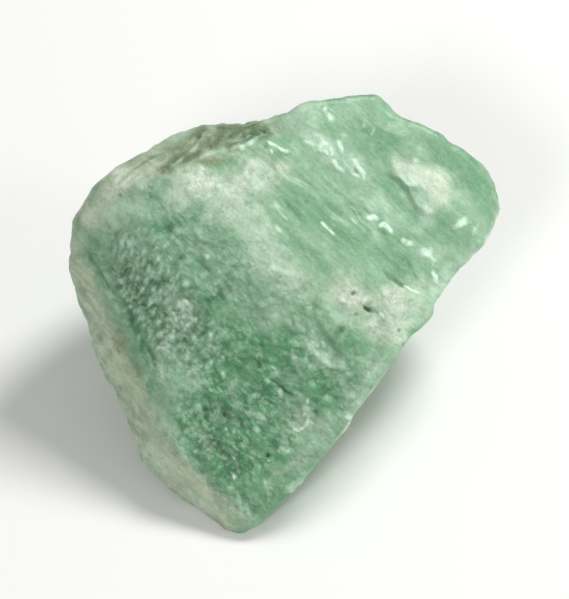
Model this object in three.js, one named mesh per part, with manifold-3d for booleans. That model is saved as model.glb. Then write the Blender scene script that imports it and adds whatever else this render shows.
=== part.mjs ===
// Raw green aventurine: one rough block of green quartz, broken on every side and about 40 mm long.
// Flat fracture faces bound it. Hollows, shelves, chips, splintery ledges and lumps are sunk into
// them. Millimetres, Z up, resting on a flat face at Z = 0.
//
// The block is drawn in its own axes: u to the right, v along its broad faces upwards, and w out of
// the broad faces. Those lean back, so w rises from the ground by the angle broadFaceRise.
// A place or a facing is given as two angles from the middle of the block: clock, turned
// anticlockwise from u, and rise, lifted from the u-v plane towards w. All angles are in degrees.
import * as THREE from 'three';
import { mergeVertices } from 'three/addons/utils/BufferGeometryUtils.js';
import Module from 'manifold-3d';

const broadFaceRise = 50;    // how far the broad faces look up from level
const restDepth = 9.55;      // from the middle of the block down to the flat it rests on
const gridBox = [40, 40, 23];      // the surface is drawn on a grid over this box, in u, v and w
const gridSquares = [41, 41, 22];  // squares along each edge of that box
const gridDrop = 2;          // the box's middle lies this far behind the block's
const edgeSharpness = 70;    // the higher, the crisper the edges between two faces
const liftSoftness = 14;     // the lower, the wider the turn of the sinking direction at an edge
const skinAllowance = 0.25;  // the faces stand this much proud before the relief is sunk in
const grainClock = -42;      // the splintery grain of the striated face runs this way

// Fracture faces: where each looks, its distance from the middle, and how chipped it is
const faces = {
  broadFace: { clock: 236, rise: 80, reach: 9.2, chips: 0.15 },
  striatedFace: { clock: 44, rise: 73, reach: 10.5, chips: 0.15 },
  ridgeBevel: { clock: 28, rise: 86, reach: 9.85, chips: 0.15 },
  leftBevel: { clock: 203, rise: 62, reach: 12.3, chips: 0.3 },
  leftStrip: { clock: 204, rise: 36, reach: 15.5, chips: 0.2 },
  lowerLeftStrip: { clock: 222, rise: 34, reach: 17.0, chips: 0.2 },
  upperLeftStrip: { clock: 112, rise: 36, reach: 18.6, chips: 0.35 },
  leftCorner: { clock: 159.8, rise: 26, reach: 21.25, chips: 0.3 },
  rightEnd: { clock: 12, rise: 40, reach: 18.1, chips: 0.2 },
  lowerRightRim: { clock: -39.5, rise: 30, reach: 13.7, chips: 0.3 },
  topRightRim: { clock: 50, rise: 30, reach: 21.6, chips: 0.3 },
  tipRim: { clock: 250, rise: 40, reach: 19.2, chips: 0.2 },
  leftWall: { clock: 205, rise: -17, reach: 16.0, chips: 0.4 },
  leftShoulder: { clock: 188.3, rise: -8, reach: 18.6, chips: 0.4 },
  leftBackCorner: { clock: 162.8, rise: -12, reach: 19.3, chips: 0.4 },
  upperLeftWall: { clock: 129.7, rise: -15, reach: 17.35, chips: 0.4 },
  topLeft: { clock: 113, rise: -12, reach: 17.9, chips: 0.3 },
  crown: { clock: 100.4, rise: -8, reach: 17.45, chips: 0.3 },
  topRight: { clock: 56.7, rise: -10, reach: 20.75, chips: 0.3 },
  upperRight: { clock: 42, rise: -12, reach: 21.9, chips: 0.3 },
  right: { clock: -2, rise: -6, reach: 20.3, chips: 0.3 },
  rightLower: { clock: -30.6, rise: -8, reach: 11.9, chips: 0.3 },
  lowerRight: { clock: -39.5, rise: -10, reach: 9.5, chips: 0.3 },
  tip: { clock: -60.4, rise: -6, reach: 15.4, chips: 0.3 },
  lowerLeft: { clock: 230.3, rise: -14, reach: 18.05, chips: 0.3 },
  backUpper: { clock: 74, rise: -18, reach: 20.0, chips: 0.5 },
  backWall: { clock: 96, rise: -36, reach: 14.2, chips: 0.6 },
  backRight: { clock: 24, rise: -34, reach: 17.3, chips: 0.6 },
  backLeft: { clock: 152, rise: -42, reach: 15.2, chips: 0.6 },
  lowBackRight: { clock: 330, rise: -55, reach: 13.5, chips: 0.4 },
  lowBackLeft: { clock: 205, rise: -58, reach: 14.5, chips: 0.4 },
  restingFace: { clock: 270, rise: -50, reach: 9.7, chips: 0 },
};

// Round dips and notches: middle, half width and depth
const hollows = {
  topNotch: { clock: 98, rise: 16, halfWidth: 5.6, depth: 1.15 },
  rightTopNotch: { clock: 58, rise: 9, halfWidth: 3.4, depth: 0.75 },
  rightLowerNotch: { clock: 6.7, rise: 15, halfWidth: 5.9, depth: 1.3 },
  edgeNick: { clock: -14.4, rise: 24, halfWidth: 6.0, depth: 1.15 },
  peakNotch: { clock: 81, rise: 12, halfWidth: 2.4, depth: 0.45 },
  longEdgeNick: { clock: -30, rise: 24, halfWidth: 5.4, depth: 0.5 },
  leftNick: { clock: 179.5, rise: 10, halfWidth: 5.1, depth: 0.35 },
  backHollow: { clock: 100, rise: -50, halfWidth: 11.0, depth: 1.0 },
  backLeftHollow: { clock: 150, rise: -35, halfWidth: 9.0, depth: 0.8 },
  underRightHollow: { clock: -35, rise: -38, halfWidth: 9.0, depth: 0.9 },
  leftHollow: { clock: 205, rise: -22, halfWidth: 8.0, depth: 0.5 },
  backRightHollow: { clock: 24, rise: -34, halfWidth: 8.0, depth: 0.7 },
  stripHollow: { clock: 112, rise: 36, halfWidth: 6.0, depth: 0.4 },
  chevronChip: { clock: -20, rise: 50, halfWidth: 2.6, depth: 0.5 },
  lowChip: { clock: -79, rise: 38, halfWidth: 2.2, depth: 0.35 },
  darkPit: { clock: -2, rise: 49, halfWidth: 1.5, depth: 0.4 },
  smoothDip: { clock: 12, rise: 66, halfWidth: 7.0, depth: 0.35 },
  lowDip: { clock: 236, rise: 52, halfWidth: 6.0, depth: 0.3 },
};

// Broken steps: a point on the lip, the side that drops, the drop, the width of its riser, how far
// the lowered side runs before it meets the face again, and half the length of the lip
const shelves = {
  patchShelf: {
    clock: 43.5, rise: 21, dropClock: 227, dropRise: 0,
    drop: 0.4, riser: 0.9, run: 6, halfLength: 3.5,
  },
  glintShelf: {
    clock: 72, rise: 36, dropClock: 48, dropRise: 0,
    drop: 0.3, riser: 0.9, run: 5, halfLength: 5.5,
  },
  lowerShelf: {
    clock: 14, rise: 36, dropClock: 50, dropRise: 0,
    drop: 0.3, riser: 1.0, run: 4.5, halfLength: 5,
  },
  chevronShelf: {
    clock: -31, rise: 64, dropClock: 215, dropRise: 0,
    drop: 0.3, riser: 0.9, run: 4, halfLength: 2.6,
  },
  backShelf: {
    clock: 80, rise: -35, dropClock: 210, dropRise: -30,
    drop: 0.9, riser: 1.2, run: 12, halfLength: 9,
  },
  backLowShelf: {
    clock: 95, rise: -58, dropClock: 270, dropRise: -50,
    drop: 0.7, riser: 1.2, run: 8, halfLength: 9,
  },
  leftShelf: {
    clock: 185, rise: -25, dropClock: 140, dropRise: -10,
    drop: 0.8, riser: 1.2, run: 8, halfLength: 7,
  },
  underShelf: {
    clock: -35, rise: -30, dropClock: 20, dropRise: -50,
    drop: 0.8, riser: 1.2, run: 8, halfLength: 8,
  },
  rightShelf: {
    clock: 15, rise: -10, dropClock: 100, dropRise: -50,
    drop: 0.6, riser: 1.2, run: 8, halfLength: 6,
  },
};

// Overall texture: the size of one feature and its depth, which for chips grows with a face's chips
const bigChips = { size: 6.0, depth: 2.4 };
const smallChips = { size: 2.6, depth: 0.75 };
const broadLumps = { size: 6.5, depth: 0.25 };
const smallLumps = { size: 3.0, depth: 0.12 };
const ledges = { size: 3.4, depth: 0.2 };
const wander = { size: 2.6, depth: 0.9 };     // how far the outlines of dips and steps stray
const shelfThickness = 3.0;                   // a shelf fades out this far below its face

const { degToRad } = THREE.MathUtils;

function direction(clock, rise) {
  const level = Math.cos(degToRad(rise));
  return new THREE.Vector3(
    Math.cos(degToRad(clock)) * level,
    Math.sin(degToRad(clock)) * level,
    Math.sin(degToRad(rise)),
  );
}

const faceList = Object.entries(faces).map(([name, face]) => (
  { name, outlook: direction(face.clock, face.rise), reach: face.reach, chips: face.chips }
));

// Where a ray from the middle leaves the block, how much each face has to do with that point, and
// the way its surface is sunk in. A face is as near as the ray's slant to it over its reach, and a
// high power of that nearness picks the nearest face but still blends two where they meet.
function blockSurface(ray) {
  const nearness = faceList.map(({ outlook, reach }) => Math.max(ray.dot(outlook), 0) / reach);
  const powers = nearness.map((near) => near ** edgeSharpness);
  const total = powers.reduce((sum, power) => sum + power, 0);
  const lift = new THREE.Vector3();
  faceList.forEach(({ outlook }, i) => lift.addScaledVector(outlook, nearness[i] ** liftSoftness));
  return {
    point: ray.clone().multiplyScalar(total ** (-1 / edgeSharpness)),
    shares: powers.map((power) => power / total),
    lift: lift.normalize(),
  };
}

// A repeatable number from 0 to 1 for a cell of space, by mixing its whole-number corner
function cellNumber(x, y, z, series) {
  let mixed = Math.imul(x, 374761393) + Math.imul(y, 668265263);
  mixed += Math.imul(z, 974634777) + Math.imul(series, 1274126177);
  mixed |= 0;
  mixed = Math.imul(mixed ^ (mixed >>> 13), 1103515245);
  mixed = Math.imul(mixed ^ (mixed >>> 16), 374761393);
  return ((mixed ^ (mixed >>> 15)) & 0xffffff) / 0xffffff;
}

const smoothStep = (t) => THREE.MathUtils.smoothstep(t, 0, 1);

// Smooth lumps from -1 to 1, about one a cell: the numbers of a cell's eight corners, blended
function lumps(point, size, series) {
  const place = point.clone().divideScalar(size);
  const cell = place.clone().floor();
  const part = place.clone().sub(cell);
  const near = [smoothStep(part.x), smoothStep(part.y), smoothStep(part.z)];
  let total = 0;
  for (let i = 0; i < 8; i += 1) {
    const step = [i & 1, (i >> 1) & 1, (i >> 2) & 1];
    const weight = near.reduce((w, n, axis) => w * (step[axis] ? n : 1 - n), 1);
    total += weight * cellNumber(cell.x + step[0], cell.y + step[1], cell.z + step[2], series);
  }
  return total * 2 - 1;
}

// The lowest at a point of tilted bowls, one to a cell of space, each with its own middle and tilt.
// Taken from the depth, it leaves hollow chips that meet in sharp ridges, as in broken quartz.
function chippedBowls(point, size, series) {
  const tilt = 0.9;
  const hollowness = 0.55;
  const place = point.clone().divideScalar(size);
  const home = place.clone().floor();
  let lowest = Infinity;
  for (let i = 0; i < 27; i += 1) {
    const x = home.x + (i % 3) - 1;
    const y = home.y + (Math.floor(i / 3) % 3) - 1;
    const z = home.z + Math.floor(i / 9) - 1;
    const random = [1, 2, 3, 4, 5, 6].map((k) => cellNumber(x, y, z, series + k));
    const away = place.clone().sub(new THREE.Vector3(x + random[0], y + random[1], z + random[2]));
    const slope = new THREE.Vector3(random[3] - 0.5, random[4] - 0.5, random[5] - 0.5);
    lowest = Math.min(lowest, hollowness * away.lengthSq() + tilt * slope.dot(away));
  }
  return lowest;
}

const alongGrain = direction(grainClock, 0);
const acrossGrain = direction(grainClock + 90, 0);

// Space squeezed so that lumps in it come out long and narrow, lying along the grain
function grainSpace(point, width) {
  const alongStretch = 3.2;
  const depthStretch = 2;
  return new THREE.Vector3(
    point.dot(alongGrain) / (alongStretch * width),
    point.dot(acrossGrain) / width,
    point.z / (depthStretch * width),
  );
}

// Splintery ledges: gentle treads and short risers across the grain, wavering and fading along it
function grainLedges(point, width) {
  const treadShare = 0.7;
  const waver = 0.5 * lumps(grainSpace(point, width), 1, 71);
  const stage = point.dot(acrossGrain) / width + waver;
  const part = stage - Math.floor(stage);
  const fadeSpace = grainSpace(point, width * 1.3).addScalar(0.5);
  const strength = 0.5 + 0.5 * lumps(fadeSpace, 1, 72);
  return strength * Math.min(part / treadShare, (1 - part) / (1 - treadShare));
}

const hollowList = Object.values(hollows).map(({ clock, rise, halfWidth, depth }) => (
  { middle: blockSurface(direction(clock, rise)).point, halfWidth, depth }
));

const shelfList = Object.values(shelves).map((shelf) => {
  const { point: lip, lift } = blockSurface(direction(shelf.clock, shelf.rise));
  const side = lift.clone().cross(direction(shelf.dropClock, shelf.dropRise)).normalize();
  return { ...shelf, lip, lift, side, downhill: side.clone().cross(lift) };
});

// How deep the relief is sunk at a point of the smooth block
function reliefDepth(point, shares) {
  const stray = [41, 42, 43].map((series) => wander.depth * lumps(point, wander.size, series));
  const strayed = point.clone().add(new THREE.Vector3(...stray));
  const chips = faceList.reduce((sum, face, i) => sum + face.chips * shares[i], 0);
  const grain = shares[faceList.findIndex((face) => face.name === 'striatedFace')];

  let depth = -bigChips.depth * chips * chippedBowls(strayed, bigChips.size, 11);
  depth -= smallChips.depth * chips * chippedBowls(point, smallChips.size, 23);
  depth += broadLumps.depth * lumps(point, broadLumps.size, 31);
  depth += smallLumps.depth * lumps(point, smallLumps.size, 37);
  depth += ledges.depth * grain * grainLedges(point, ledges.size);

  for (const hollow of hollowList) {
    const away = strayed.distanceTo(hollow.middle) / hollow.halfWidth;
    depth += hollow.depth * Math.max(0, 1 - away * away) ** 1.5;
  }
  for (const shelf of shelfList) {
    const from = strayed.clone().sub(shelf.lip);
    const downhill = from.dot(shelf.downhill);
    const sideways = from.dot(shelf.side) / shelf.halfLength;
    const below = Math.abs(point.clone().sub(shelf.lip).dot(shelf.lift)) / shelfThickness;
    const fade = smoothStep(1 - sideways * sideways) * smoothStep(2 - below);
    const dropped = smoothStep(downhill / shelf.riser + 0.5) * smoothStep(1 - downhill / shelf.run);
    depth += shelf.drop * dropped * fade;
  }
  return depth;
}

// The finished surface point on a ray from the middle, still in the block's own axes
function brokenSurface(ray) {
  const { point, shares, lift } = blockSurface(ray);
  const resting = shares[faceList.findIndex((face) => face.name === 'restingFace')];
  const sunk = (reliefDepth(point, shares) - skinAllowance) * (1 - resting);
  return point.addScaledVector(lift, -sunk);
}

// An even grid on a box, each point moved along its ray from the block's middle to the broken
// surface. Every square is then split along the diagonal that lies nearer that surface, so that
// edges of the block run true across the grid.
function roughBlock() {
  const box = new THREE.BoxGeometry(...gridBox, ...gridSquares).translate(0, 0, -gridDrop);
  box.deleteAttribute('normal');
  box.deleteAttribute('uv');
  const grid = mergeVertices(box, 1e-4);
  const spots = grid.getAttribute('position');
  const rays = [];
  const points = [];
  for (let i = 0; i < spots.count; i += 1) {
    rays.push(new THREE.Vector3().fromBufferAttribute(spots, i).normalize());
    points.push(brokenSurface(rays[i]));
  }

  const corners = grid.index.array;
  const cornersInSquare = 6;
  for (let i = 0; i < corners.length; i += cornersInSquare) {
    const [a, b, d] = corners.slice(i, i + 3);
    const c = corners[i + 4];
    const centre = rays[a].clone().add(rays[b]).add(rays[c]).add(rays[d]).normalize();
    const truth = brokenSurface(centre);
    const missOf = (from, to) => points[from].clone().lerp(points[to], 0.5).distanceTo(truth);
    if (missOf(a, c) < missOf(b, d)) corners.set([a, b, c, a, c, d], i);
  }

  points.forEach((point, i) => spots.setXYZ(i, point.x, point.y, point.z));
  return grid.rotateX(degToRad(90 - broadFaceRise));
}

const wasm = await Module();
wasm.setup();

function toSolid(geometry) {
  const { array } = geometry.getAttribute('position');
  const vertProperties = Float32Array.from(array);
  const triVerts = Uint32Array.from(geometry.index.array);
  return new wasm.Manifold(new wasm.Mesh({ numProp: 3, vertProperties, triVerts }));
}

function toGeometry(solid) {
  const { vertProperties, triVerts } = solid.getMesh();
  const geometry = new THREE.BufferGeometry();
  geometry.setAttribute('position', new THREE.BufferAttribute(vertProperties, 3));
  geometry.setIndex(new THREE.BufferAttribute(triVerts, 1));
  return geometry;
}

// A slab that takes away everything below the flat that the block rests on
function groundSlab() {
  const slabSize = 100;
  const slab = new THREE.BoxGeometry(slabSize, slabSize, slabSize);
  slab.deleteAttribute('normal');
  slab.deleteAttribute('uv');
  slab.translate(0, 0, -restDepth - slabSize / 2);
  return mergeVertices(slab);
}

const sliverWidth = 0.02;
const blockSolid = toSolid(roughBlock()).subtract(toSolid(groundSlab())).simplify(sliverWidth);
const blockGeometry = toGeometry(blockSolid);
blockGeometry.computeBoundingBox();
const { min, max } = blockGeometry.boundingBox;
blockGeometry.translate(-(min.x + max.x) / 2, -(min.y + max.y) / 2, restDepth);
blockGeometry.computeVertexNormals();

const aventurine = new THREE.MeshStandardMaterial({ color: 0x7fa98a, roughness: 0.45, metalness: 0 });
const block = new THREE.Mesh(blockGeometry, aventurine);
block.name = 'aventurine_block';

const group = new THREE.Group();
group.add(block);

export default group;
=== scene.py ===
import bpy
import numpy as np
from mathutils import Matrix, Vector


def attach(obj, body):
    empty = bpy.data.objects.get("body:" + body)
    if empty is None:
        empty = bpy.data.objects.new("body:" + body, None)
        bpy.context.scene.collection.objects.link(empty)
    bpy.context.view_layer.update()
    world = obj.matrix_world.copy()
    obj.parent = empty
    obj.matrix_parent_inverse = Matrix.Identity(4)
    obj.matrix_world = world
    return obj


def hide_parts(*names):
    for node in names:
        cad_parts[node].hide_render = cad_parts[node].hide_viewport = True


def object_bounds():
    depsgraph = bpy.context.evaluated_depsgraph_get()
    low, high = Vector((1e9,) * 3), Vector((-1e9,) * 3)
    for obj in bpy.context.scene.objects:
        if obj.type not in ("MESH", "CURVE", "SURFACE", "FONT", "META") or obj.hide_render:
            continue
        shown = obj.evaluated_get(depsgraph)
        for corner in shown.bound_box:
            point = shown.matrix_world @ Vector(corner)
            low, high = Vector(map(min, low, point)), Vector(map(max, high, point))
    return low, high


# Raw green aventurine: one rough block of green quartz, broken on every side, lying on a flat side.
# The block is drawn in mm in its own axes: u to the right, v along its broad faces upwards, and w
# out of the broad faces, which lean back so that w rises broadFaceRise degrees from level.
# A place or facing is two angles from the middle: clock, anticlockwise from u, and rise, towards w.
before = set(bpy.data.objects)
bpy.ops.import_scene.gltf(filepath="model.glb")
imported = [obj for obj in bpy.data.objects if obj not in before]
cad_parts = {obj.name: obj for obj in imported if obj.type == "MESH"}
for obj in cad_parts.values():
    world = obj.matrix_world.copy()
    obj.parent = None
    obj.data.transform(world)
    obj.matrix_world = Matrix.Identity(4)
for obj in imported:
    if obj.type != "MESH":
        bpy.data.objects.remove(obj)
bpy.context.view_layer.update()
metre = 0.001           # one mm in metres
broadFaceRise = 50.0    # how far the broad faces look up from level
grainClock = -42.0      # the splintery grain runs this way
farAway = 9.0           # more than any squared distance that counts
print("frame loaded")

# The block, from the same values as its solid. A face is its clock, rise, reach from the middle and
# how chipped it is; a hollow its clock, rise, half width and depth; a shelf the clock and rise of its
# lip and of the side that drops, then its drop, riser width, run and half length.
block = {
    "gridSteps": (116, 116, 64), "gridHalf": (20, 20, 11.5), "gridMiddle": (0, 0, -2),
    "edgeSharpness": 70, "liftSoftness": 14, "skinAllowance": 0.25, "restDepth": 9.55,
    "faces": {
        "broadFace": (236, 80, 9.2, 0.15),
        "striatedFace": (44, 73, 10.5, 0.15),
        "ridgeBevel": (28, 86, 9.85, 0.15),
        "leftBevel": (203, 62, 12.3, 0.3),
        "leftStrip": (204, 36, 15.5, 0.2),
        "lowerLeftStrip": (222, 34, 17.0, 0.2),
        "upperLeftStrip": (112, 36, 18.6, 0.35),
        "leftCorner": (159.8, 26, 21.25, 0.3),
        "rightEnd": (12, 40, 18.1, 0.2),
        "lowerRightRim": (-39.5, 30, 13.7, 0.3),
        "topRightRim": (50, 30, 21.6, 0.3),
        "tipRim": (250, 40, 19.2, 0.2),
        "leftWall": (205, -17, 16.0, 0.4),
        "leftShoulder": (188.3, -8, 18.6, 0.4),
        "leftBackCorner": (162.8, -12, 19.3, 0.4),
        "upperLeftWall": (129.7, -15, 17.35, 0.4),
        "topLeft": (113, -12, 17.9, 0.3),
        "crown": (100.4, -8, 17.45, 0.3),
        "topRight": (56.7, -10, 20.75, 0.3),
        "upperRight": (42, -12, 21.9, 0.3),
        "right": (-2, -6, 20.3, 0.3),
        "rightLower": (-30.6, -8, 11.9, 0.3),
        "lowerRight": (-39.5, -10, 9.5, 0.3),
        "tip": (-60.4, -6, 15.4, 0.3),
        "lowerLeft": (230.3, -14, 18.05, 0.3),
        "backUpper": (74, -18, 20.0, 0.5),
        "backWall": (96, -36, 14.2, 0.6),
        "backRight": (24, -34, 17.3, 0.6),
        "backLeft": (152, -42, 15.2, 0.6),
        "lowBackRight": (330, -55, 13.5, 0.4),
        "lowBackLeft": (205, -58, 14.5, 0.4),
        "restingFace": (270, -50, 9.7, 0.0),
    },
    "hollows": {
        "topNotch": (98, 16, 5.6, 1.15),
        "rightTopNotch": (58, 9, 3.4, 0.75),
        "rightLowerNotch": (6.7, 15, 5.9, 1.3),
        "edgeNick": (-14.4, 24, 6.0, 1.15),
        "peakNotch": (81, 12, 2.4, 0.45),
        "longEdgeNick": (-30, 24, 5.4, 0.5),
        "leftNick": (179.5, 10, 5.1, 0.35),
        "backHollow": (100, -50, 11.0, 1.0),
        "backLeftHollow": (150, -35, 9.0, 0.8),
        "underRightHollow": (-35, -38, 9.0, 0.9),
        "leftHollow": (205, -22, 8.0, 0.5),
        "backRightHollow": (24, -34, 8.0, 0.7),
        "stripHollow": (112, 36, 6.0, 0.4),
        "chevronChip": (-20, 50, 2.6, 0.5),
        "lowChip": (-79, 38, 2.2, 0.35),
        "darkPit": (-2, 49, 1.5, 0.4),
        "smoothDip": (12, 66, 7.0, 0.35),
        "lowDip": (236, 52, 6.0, 0.3),
    },
    "shelves": {
        "patchShelf": (43.5, 21, 227, 0, 0.4, 0.9, 6, 3.5),
        "glintShelf": (72, 36, 48, 0, 0.3, 0.9, 5, 5.5),
        "lowerShelf": (14, 36, 50, 0, 0.3, 1.0, 4.5, 5),
        "chevronShelf": (-31, 64, 215, 0, 0.3, 0.9, 4, 2.6),
        "backShelf": (80, -35, 210, -30, 0.9, 1.2, 12, 9),
        "backLowShelf": (95, -58, 270, -50, 0.7, 1.2, 8, 9),
        "leftShelf": (185, -25, 140, -10, 0.8, 1.2, 8, 7),
        "underShelf": (-35, -30, 20, -50, 0.8, 1.2, 8, 8),
        "rightShelf": (15, -10, 100, -50, 0.6, 1.2, 8, 6),
    },
    # feature size and depth in mm, and the series of its random numbers
    "bigChips": (6.0, 2.4, 11), "smallChips": (2.6, 0.75, 23),
    "broadLumps": (6.5, 0.25, 31), "smallLumps": (3.0, 0.12, 37),
    "ledges": (3.4, 0.2, 71), "wander": (2.6, 0.9, 41), "shelfThickness": 3.0,
}


def direction(clock, rise):
    # Unit vector of the two angles, in degrees: level part cos(rise) turned by clock, lift sin(rise)
    clock, rise = np.radians(clock), np.radians(rise)
    return np.array([np.cos(clock) * np.cos(rise), np.sin(clock) * np.cos(rise), np.sin(rise)])


faceNames = list(block["faces"])
faceTable = np.array(list(block["faces"].values()), dtype=float)
outlooks = np.array([direction(clock, rise) for clock, rise, reach, chips in faceTable])


def blockSurface(rays):
    # Each face is as near as the ray's slant to it over its reach; distance is the power mean of the
    # nearnesses to the minus first, shares are the powers over their sum, and lift is the facing
    # averaged with a low power, so that it turns slowly over an edge
    nearness = np.maximum(rays @ outlooks.T, 0) / faceTable[:, 2]
    powers = nearness ** block["edgeSharpness"]
    total = powers.sum(axis=1, keepdims=True)
    lift = nearness ** block["liftSoftness"] @ outlooks
    lift /= np.linalg.norm(lift, axis=1, keepdims=True)
    return rays * total ** (-1 / block["edgeSharpness"]), powers / total, lift


def cellNumber(cell, series):
    # Repeatable number from 0 to 1 for a cell of space: its whole-number corner mixed in 32 bits
    mask = 0xFFFFFFFF
    whole = cell.astype(np.int64)
    mixed = whole[..., 0] * 374761393 + whole[..., 1] * 668265263
    mixed = (mixed + whole[..., 2] * 974634777 + series * 1274126177) & mask
    mixed = ((mixed ^ (mixed >> 13)) * 1103515245) & mask
    mixed = ((mixed ^ (mixed >> 16)) * 374761393) & mask
    return ((mixed ^ (mixed >> 15)) & 0xFFFFFF) / 0xFFFFFF


def smoothStep(t):
    # 3t2 - 2t3, with t held between 0 and 1
    t = np.clip(t, 0, 1)
    return t * t * (3 - 2 * t)


def lumps(points, size, series):
    # Smooth lumps from -1 to 1, one a cell: the numbers of a cell's eight corners, blended
    place = points / size
    cell = np.floor(place)
    part = smoothStep(place - cell)
    total = 0
    for step in np.ndindex(2, 2, 2):
        weight = np.prod(np.where(step, part, 1 - part), axis=1)
        total = total + weight * cellNumber(cell + step, series)
    return total * 2 - 1


def strays(points, size, series, count):
    # A sideways push at every point: lumps of one size in count directions
    return np.stack([lumps(points, size, series + k) for k in range(count)], axis=1)


def chippedBowls(points, size, series, hollowness=0.55, tilt=0.9):
    # The lowest of the bowls of the 27 cells around: hollowness times the squared distance to the
    # bowl's own middle, plus tilt times the slope along a random direction. Added to what is sunk it
    # makes grains with grooves between, and taken from it, hollow chips that meet in sharp ridges.
    place = points / size
    home = np.floor(place)
    lowest = np.full(len(points), farAway)
    for step in np.ndindex(3, 3, 3):
        cell = home + np.array(step) - 1
        random = [cellNumber(cell, series + k) for k in range(1, 7)]
        away = place - cell - np.stack(random[:3], axis=1)
        slope = np.stack(random[3:], axis=1) - 0.5
        bowl = hollowness * (away ** 2).sum(axis=1) + tilt * (slope * away).sum(axis=1)
        lowest = np.minimum(lowest, bowl)
    return lowest


alongGrain, acrossGrain = direction(grainClock, 0), direction(grainClock + 90, 0)


def grainSpace(points, width):
    # Place along the grain over 3.2 widths, across it over 1 width and in depth over 2 widths
    along, across, depth = points @ alongGrain, points @ acrossGrain, points[:, 2]
    return np.stack([along / (3.2 * width), across / width, depth / (2 * width)], axis=1)


def grainLedges(points, width, series, treadShare=0.7):
    # Sawtooth across the grain, rising over treadShare of a width and falling over the rest, moved
    # sideways by long narrow lumps and faded by others
    stage = points @ acrossGrain / width + 0.5 * lumps(grainSpace(points, width), 1, series)
    part = stage - np.floor(stage)
    strength = 0.5 + 0.5 * lumps(grainSpace(points, width * 1.3) + 0.5, 1, series + 1)
    return strength * np.minimum(part / treadShare, (1 - part) / (1 - treadShare))


def crystalGrains(points, width, length, clock, series, sharpness=9.0):
    # Random middles, one a cell, in cells stretched along clock, are weighed by e to the minus
    # sharpness x the squared distance. Gives the weighed mean of their numbers (about -0.5 to 0.5),
    # the soft least squared distance, which domes each grain, and the weighed height of their tilted
    # planes.
    along, across = points @ direction(clock, 0), points @ direction(clock + 90, 0)
    place = np.stack([along / length, across / width, points[:, 2] / width], axis=1)
    home = np.floor(place)
    total, number, height = np.full(len(points), 1e-9), 0, 0
    for step in np.ndindex(3, 3, 3):
        cell = home + np.array(step) - 1
        random = [cellNumber(cell, series + k) for k in range(1, 8)]
        away = place - cell - np.stack(random[:3], axis=1)
        weight = np.exp(-sharpness * (away ** 2).sum(axis=1))
        slope = np.stack(random[4:], axis=1) - 0.5
        total += weight
        number = number + weight * (random[3] - 0.5)
        height = height + weight * (slope * away).sum(axis=1)
    return number / total, -np.log(total) / sharpness, height / total


def repeatedRelief(settings, features):
    # Sum of depth x amount x shape, where settings give a feature's size, depth and series
    sunk = 0
    for name, (shape, places, amount) in features.items():
        size, depth, series = settings[name]
        sunk = sunk + depth * amount * shape(places, size, series)
    return sunk


def mainRelief(points, shares):
    # Depth sunk at each point, as in the solid: chipped bowls, lumps, ledges on the striated face,
    # round hollows of depth (1 - r2)^1.5, and shelves that drop over a riser and run out
    size, depth, series = block["wander"]
    strayed = points + depth * strays(points, size, series, 3)
    chips = shares @ faceTable[:, 3]
    sunk = repeatedRelief(block, {
        "bigChips": (chippedBowls, strayed, -chips),
        "smallChips": (chippedBowls, points, -chips),
        "broadLumps": (lumps, points, 1),
        "smallLumps": (lumps, points, 1),
        "ledges": (grainLedges, points, shares[:, faceNames.index("striatedFace")]),
    })
    for clock, rise, halfWidth, depth in block["hollows"].values():
        middle = blockSurface(direction(clock, rise)[None])[0]
        away = ((strayed - middle) ** 2).sum(axis=1) / halfWidth ** 2
        sunk += depth * np.maximum(0, 1 - away) ** 1.5
    for clock, rise, dropClock, dropRise, drop, riser, run, halfLength in block["shelves"].values():
        lip, _, lift = blockSurface(direction(clock, rise)[None])
        side = np.cross(lift[0], direction(dropClock, dropRise))
        side /= np.linalg.norm(side)
        downhill = (strayed - lip) @ np.cross(side, lift[0])
        sideways = (strayed - lip) @ side / halfLength
        below = np.abs((points - lip) @ lift[0]) / block["shelfThickness"]
        fade = smoothStep(1 - sideways ** 2) * smoothStep(2 - below)
        sunk += drop * smoothStep(downhill / riser + 0.5) * smoothStep(1 - downhill / run) * fade
    return sunk


def pits(points, spacing, chance, radii, series):
    # Small round pits of depth (1 - r2): a cell of space holds one where its number is under chance
    place = points / spacing
    home = np.floor(place)
    deepest = np.zeros(len(points))
    for step in np.ndindex(3, 3, 3):
        cell = home + np.array(step) - 1
        middle = cell + np.stack([cellNumber(cell, series + k) for k in range(3)], axis=1)
        radius = radii[0] + (radii[1] - radii[0]) * cellNumber(cell, series + 3) ** 2
        away = ((place - middle) ** 2).sum(axis=1) * (spacing / radius) ** 2
        held = cellNumber(cell, series + 4) < chance
        deepest = np.maximum(deepest, held * np.maximum(0, 1 - away))
    return deepest


def toWorld(points):
    # Turned about u by a right angle less broadFaceRise, so that w rises from level
    turn = np.radians(90 - broadFaceRise)
    u, v, w = points.T
    return np.stack([u, v * np.cos(turn) - w * np.sin(turn), v * np.sin(turn) + w * np.cos(turn)], axis=1)


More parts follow.
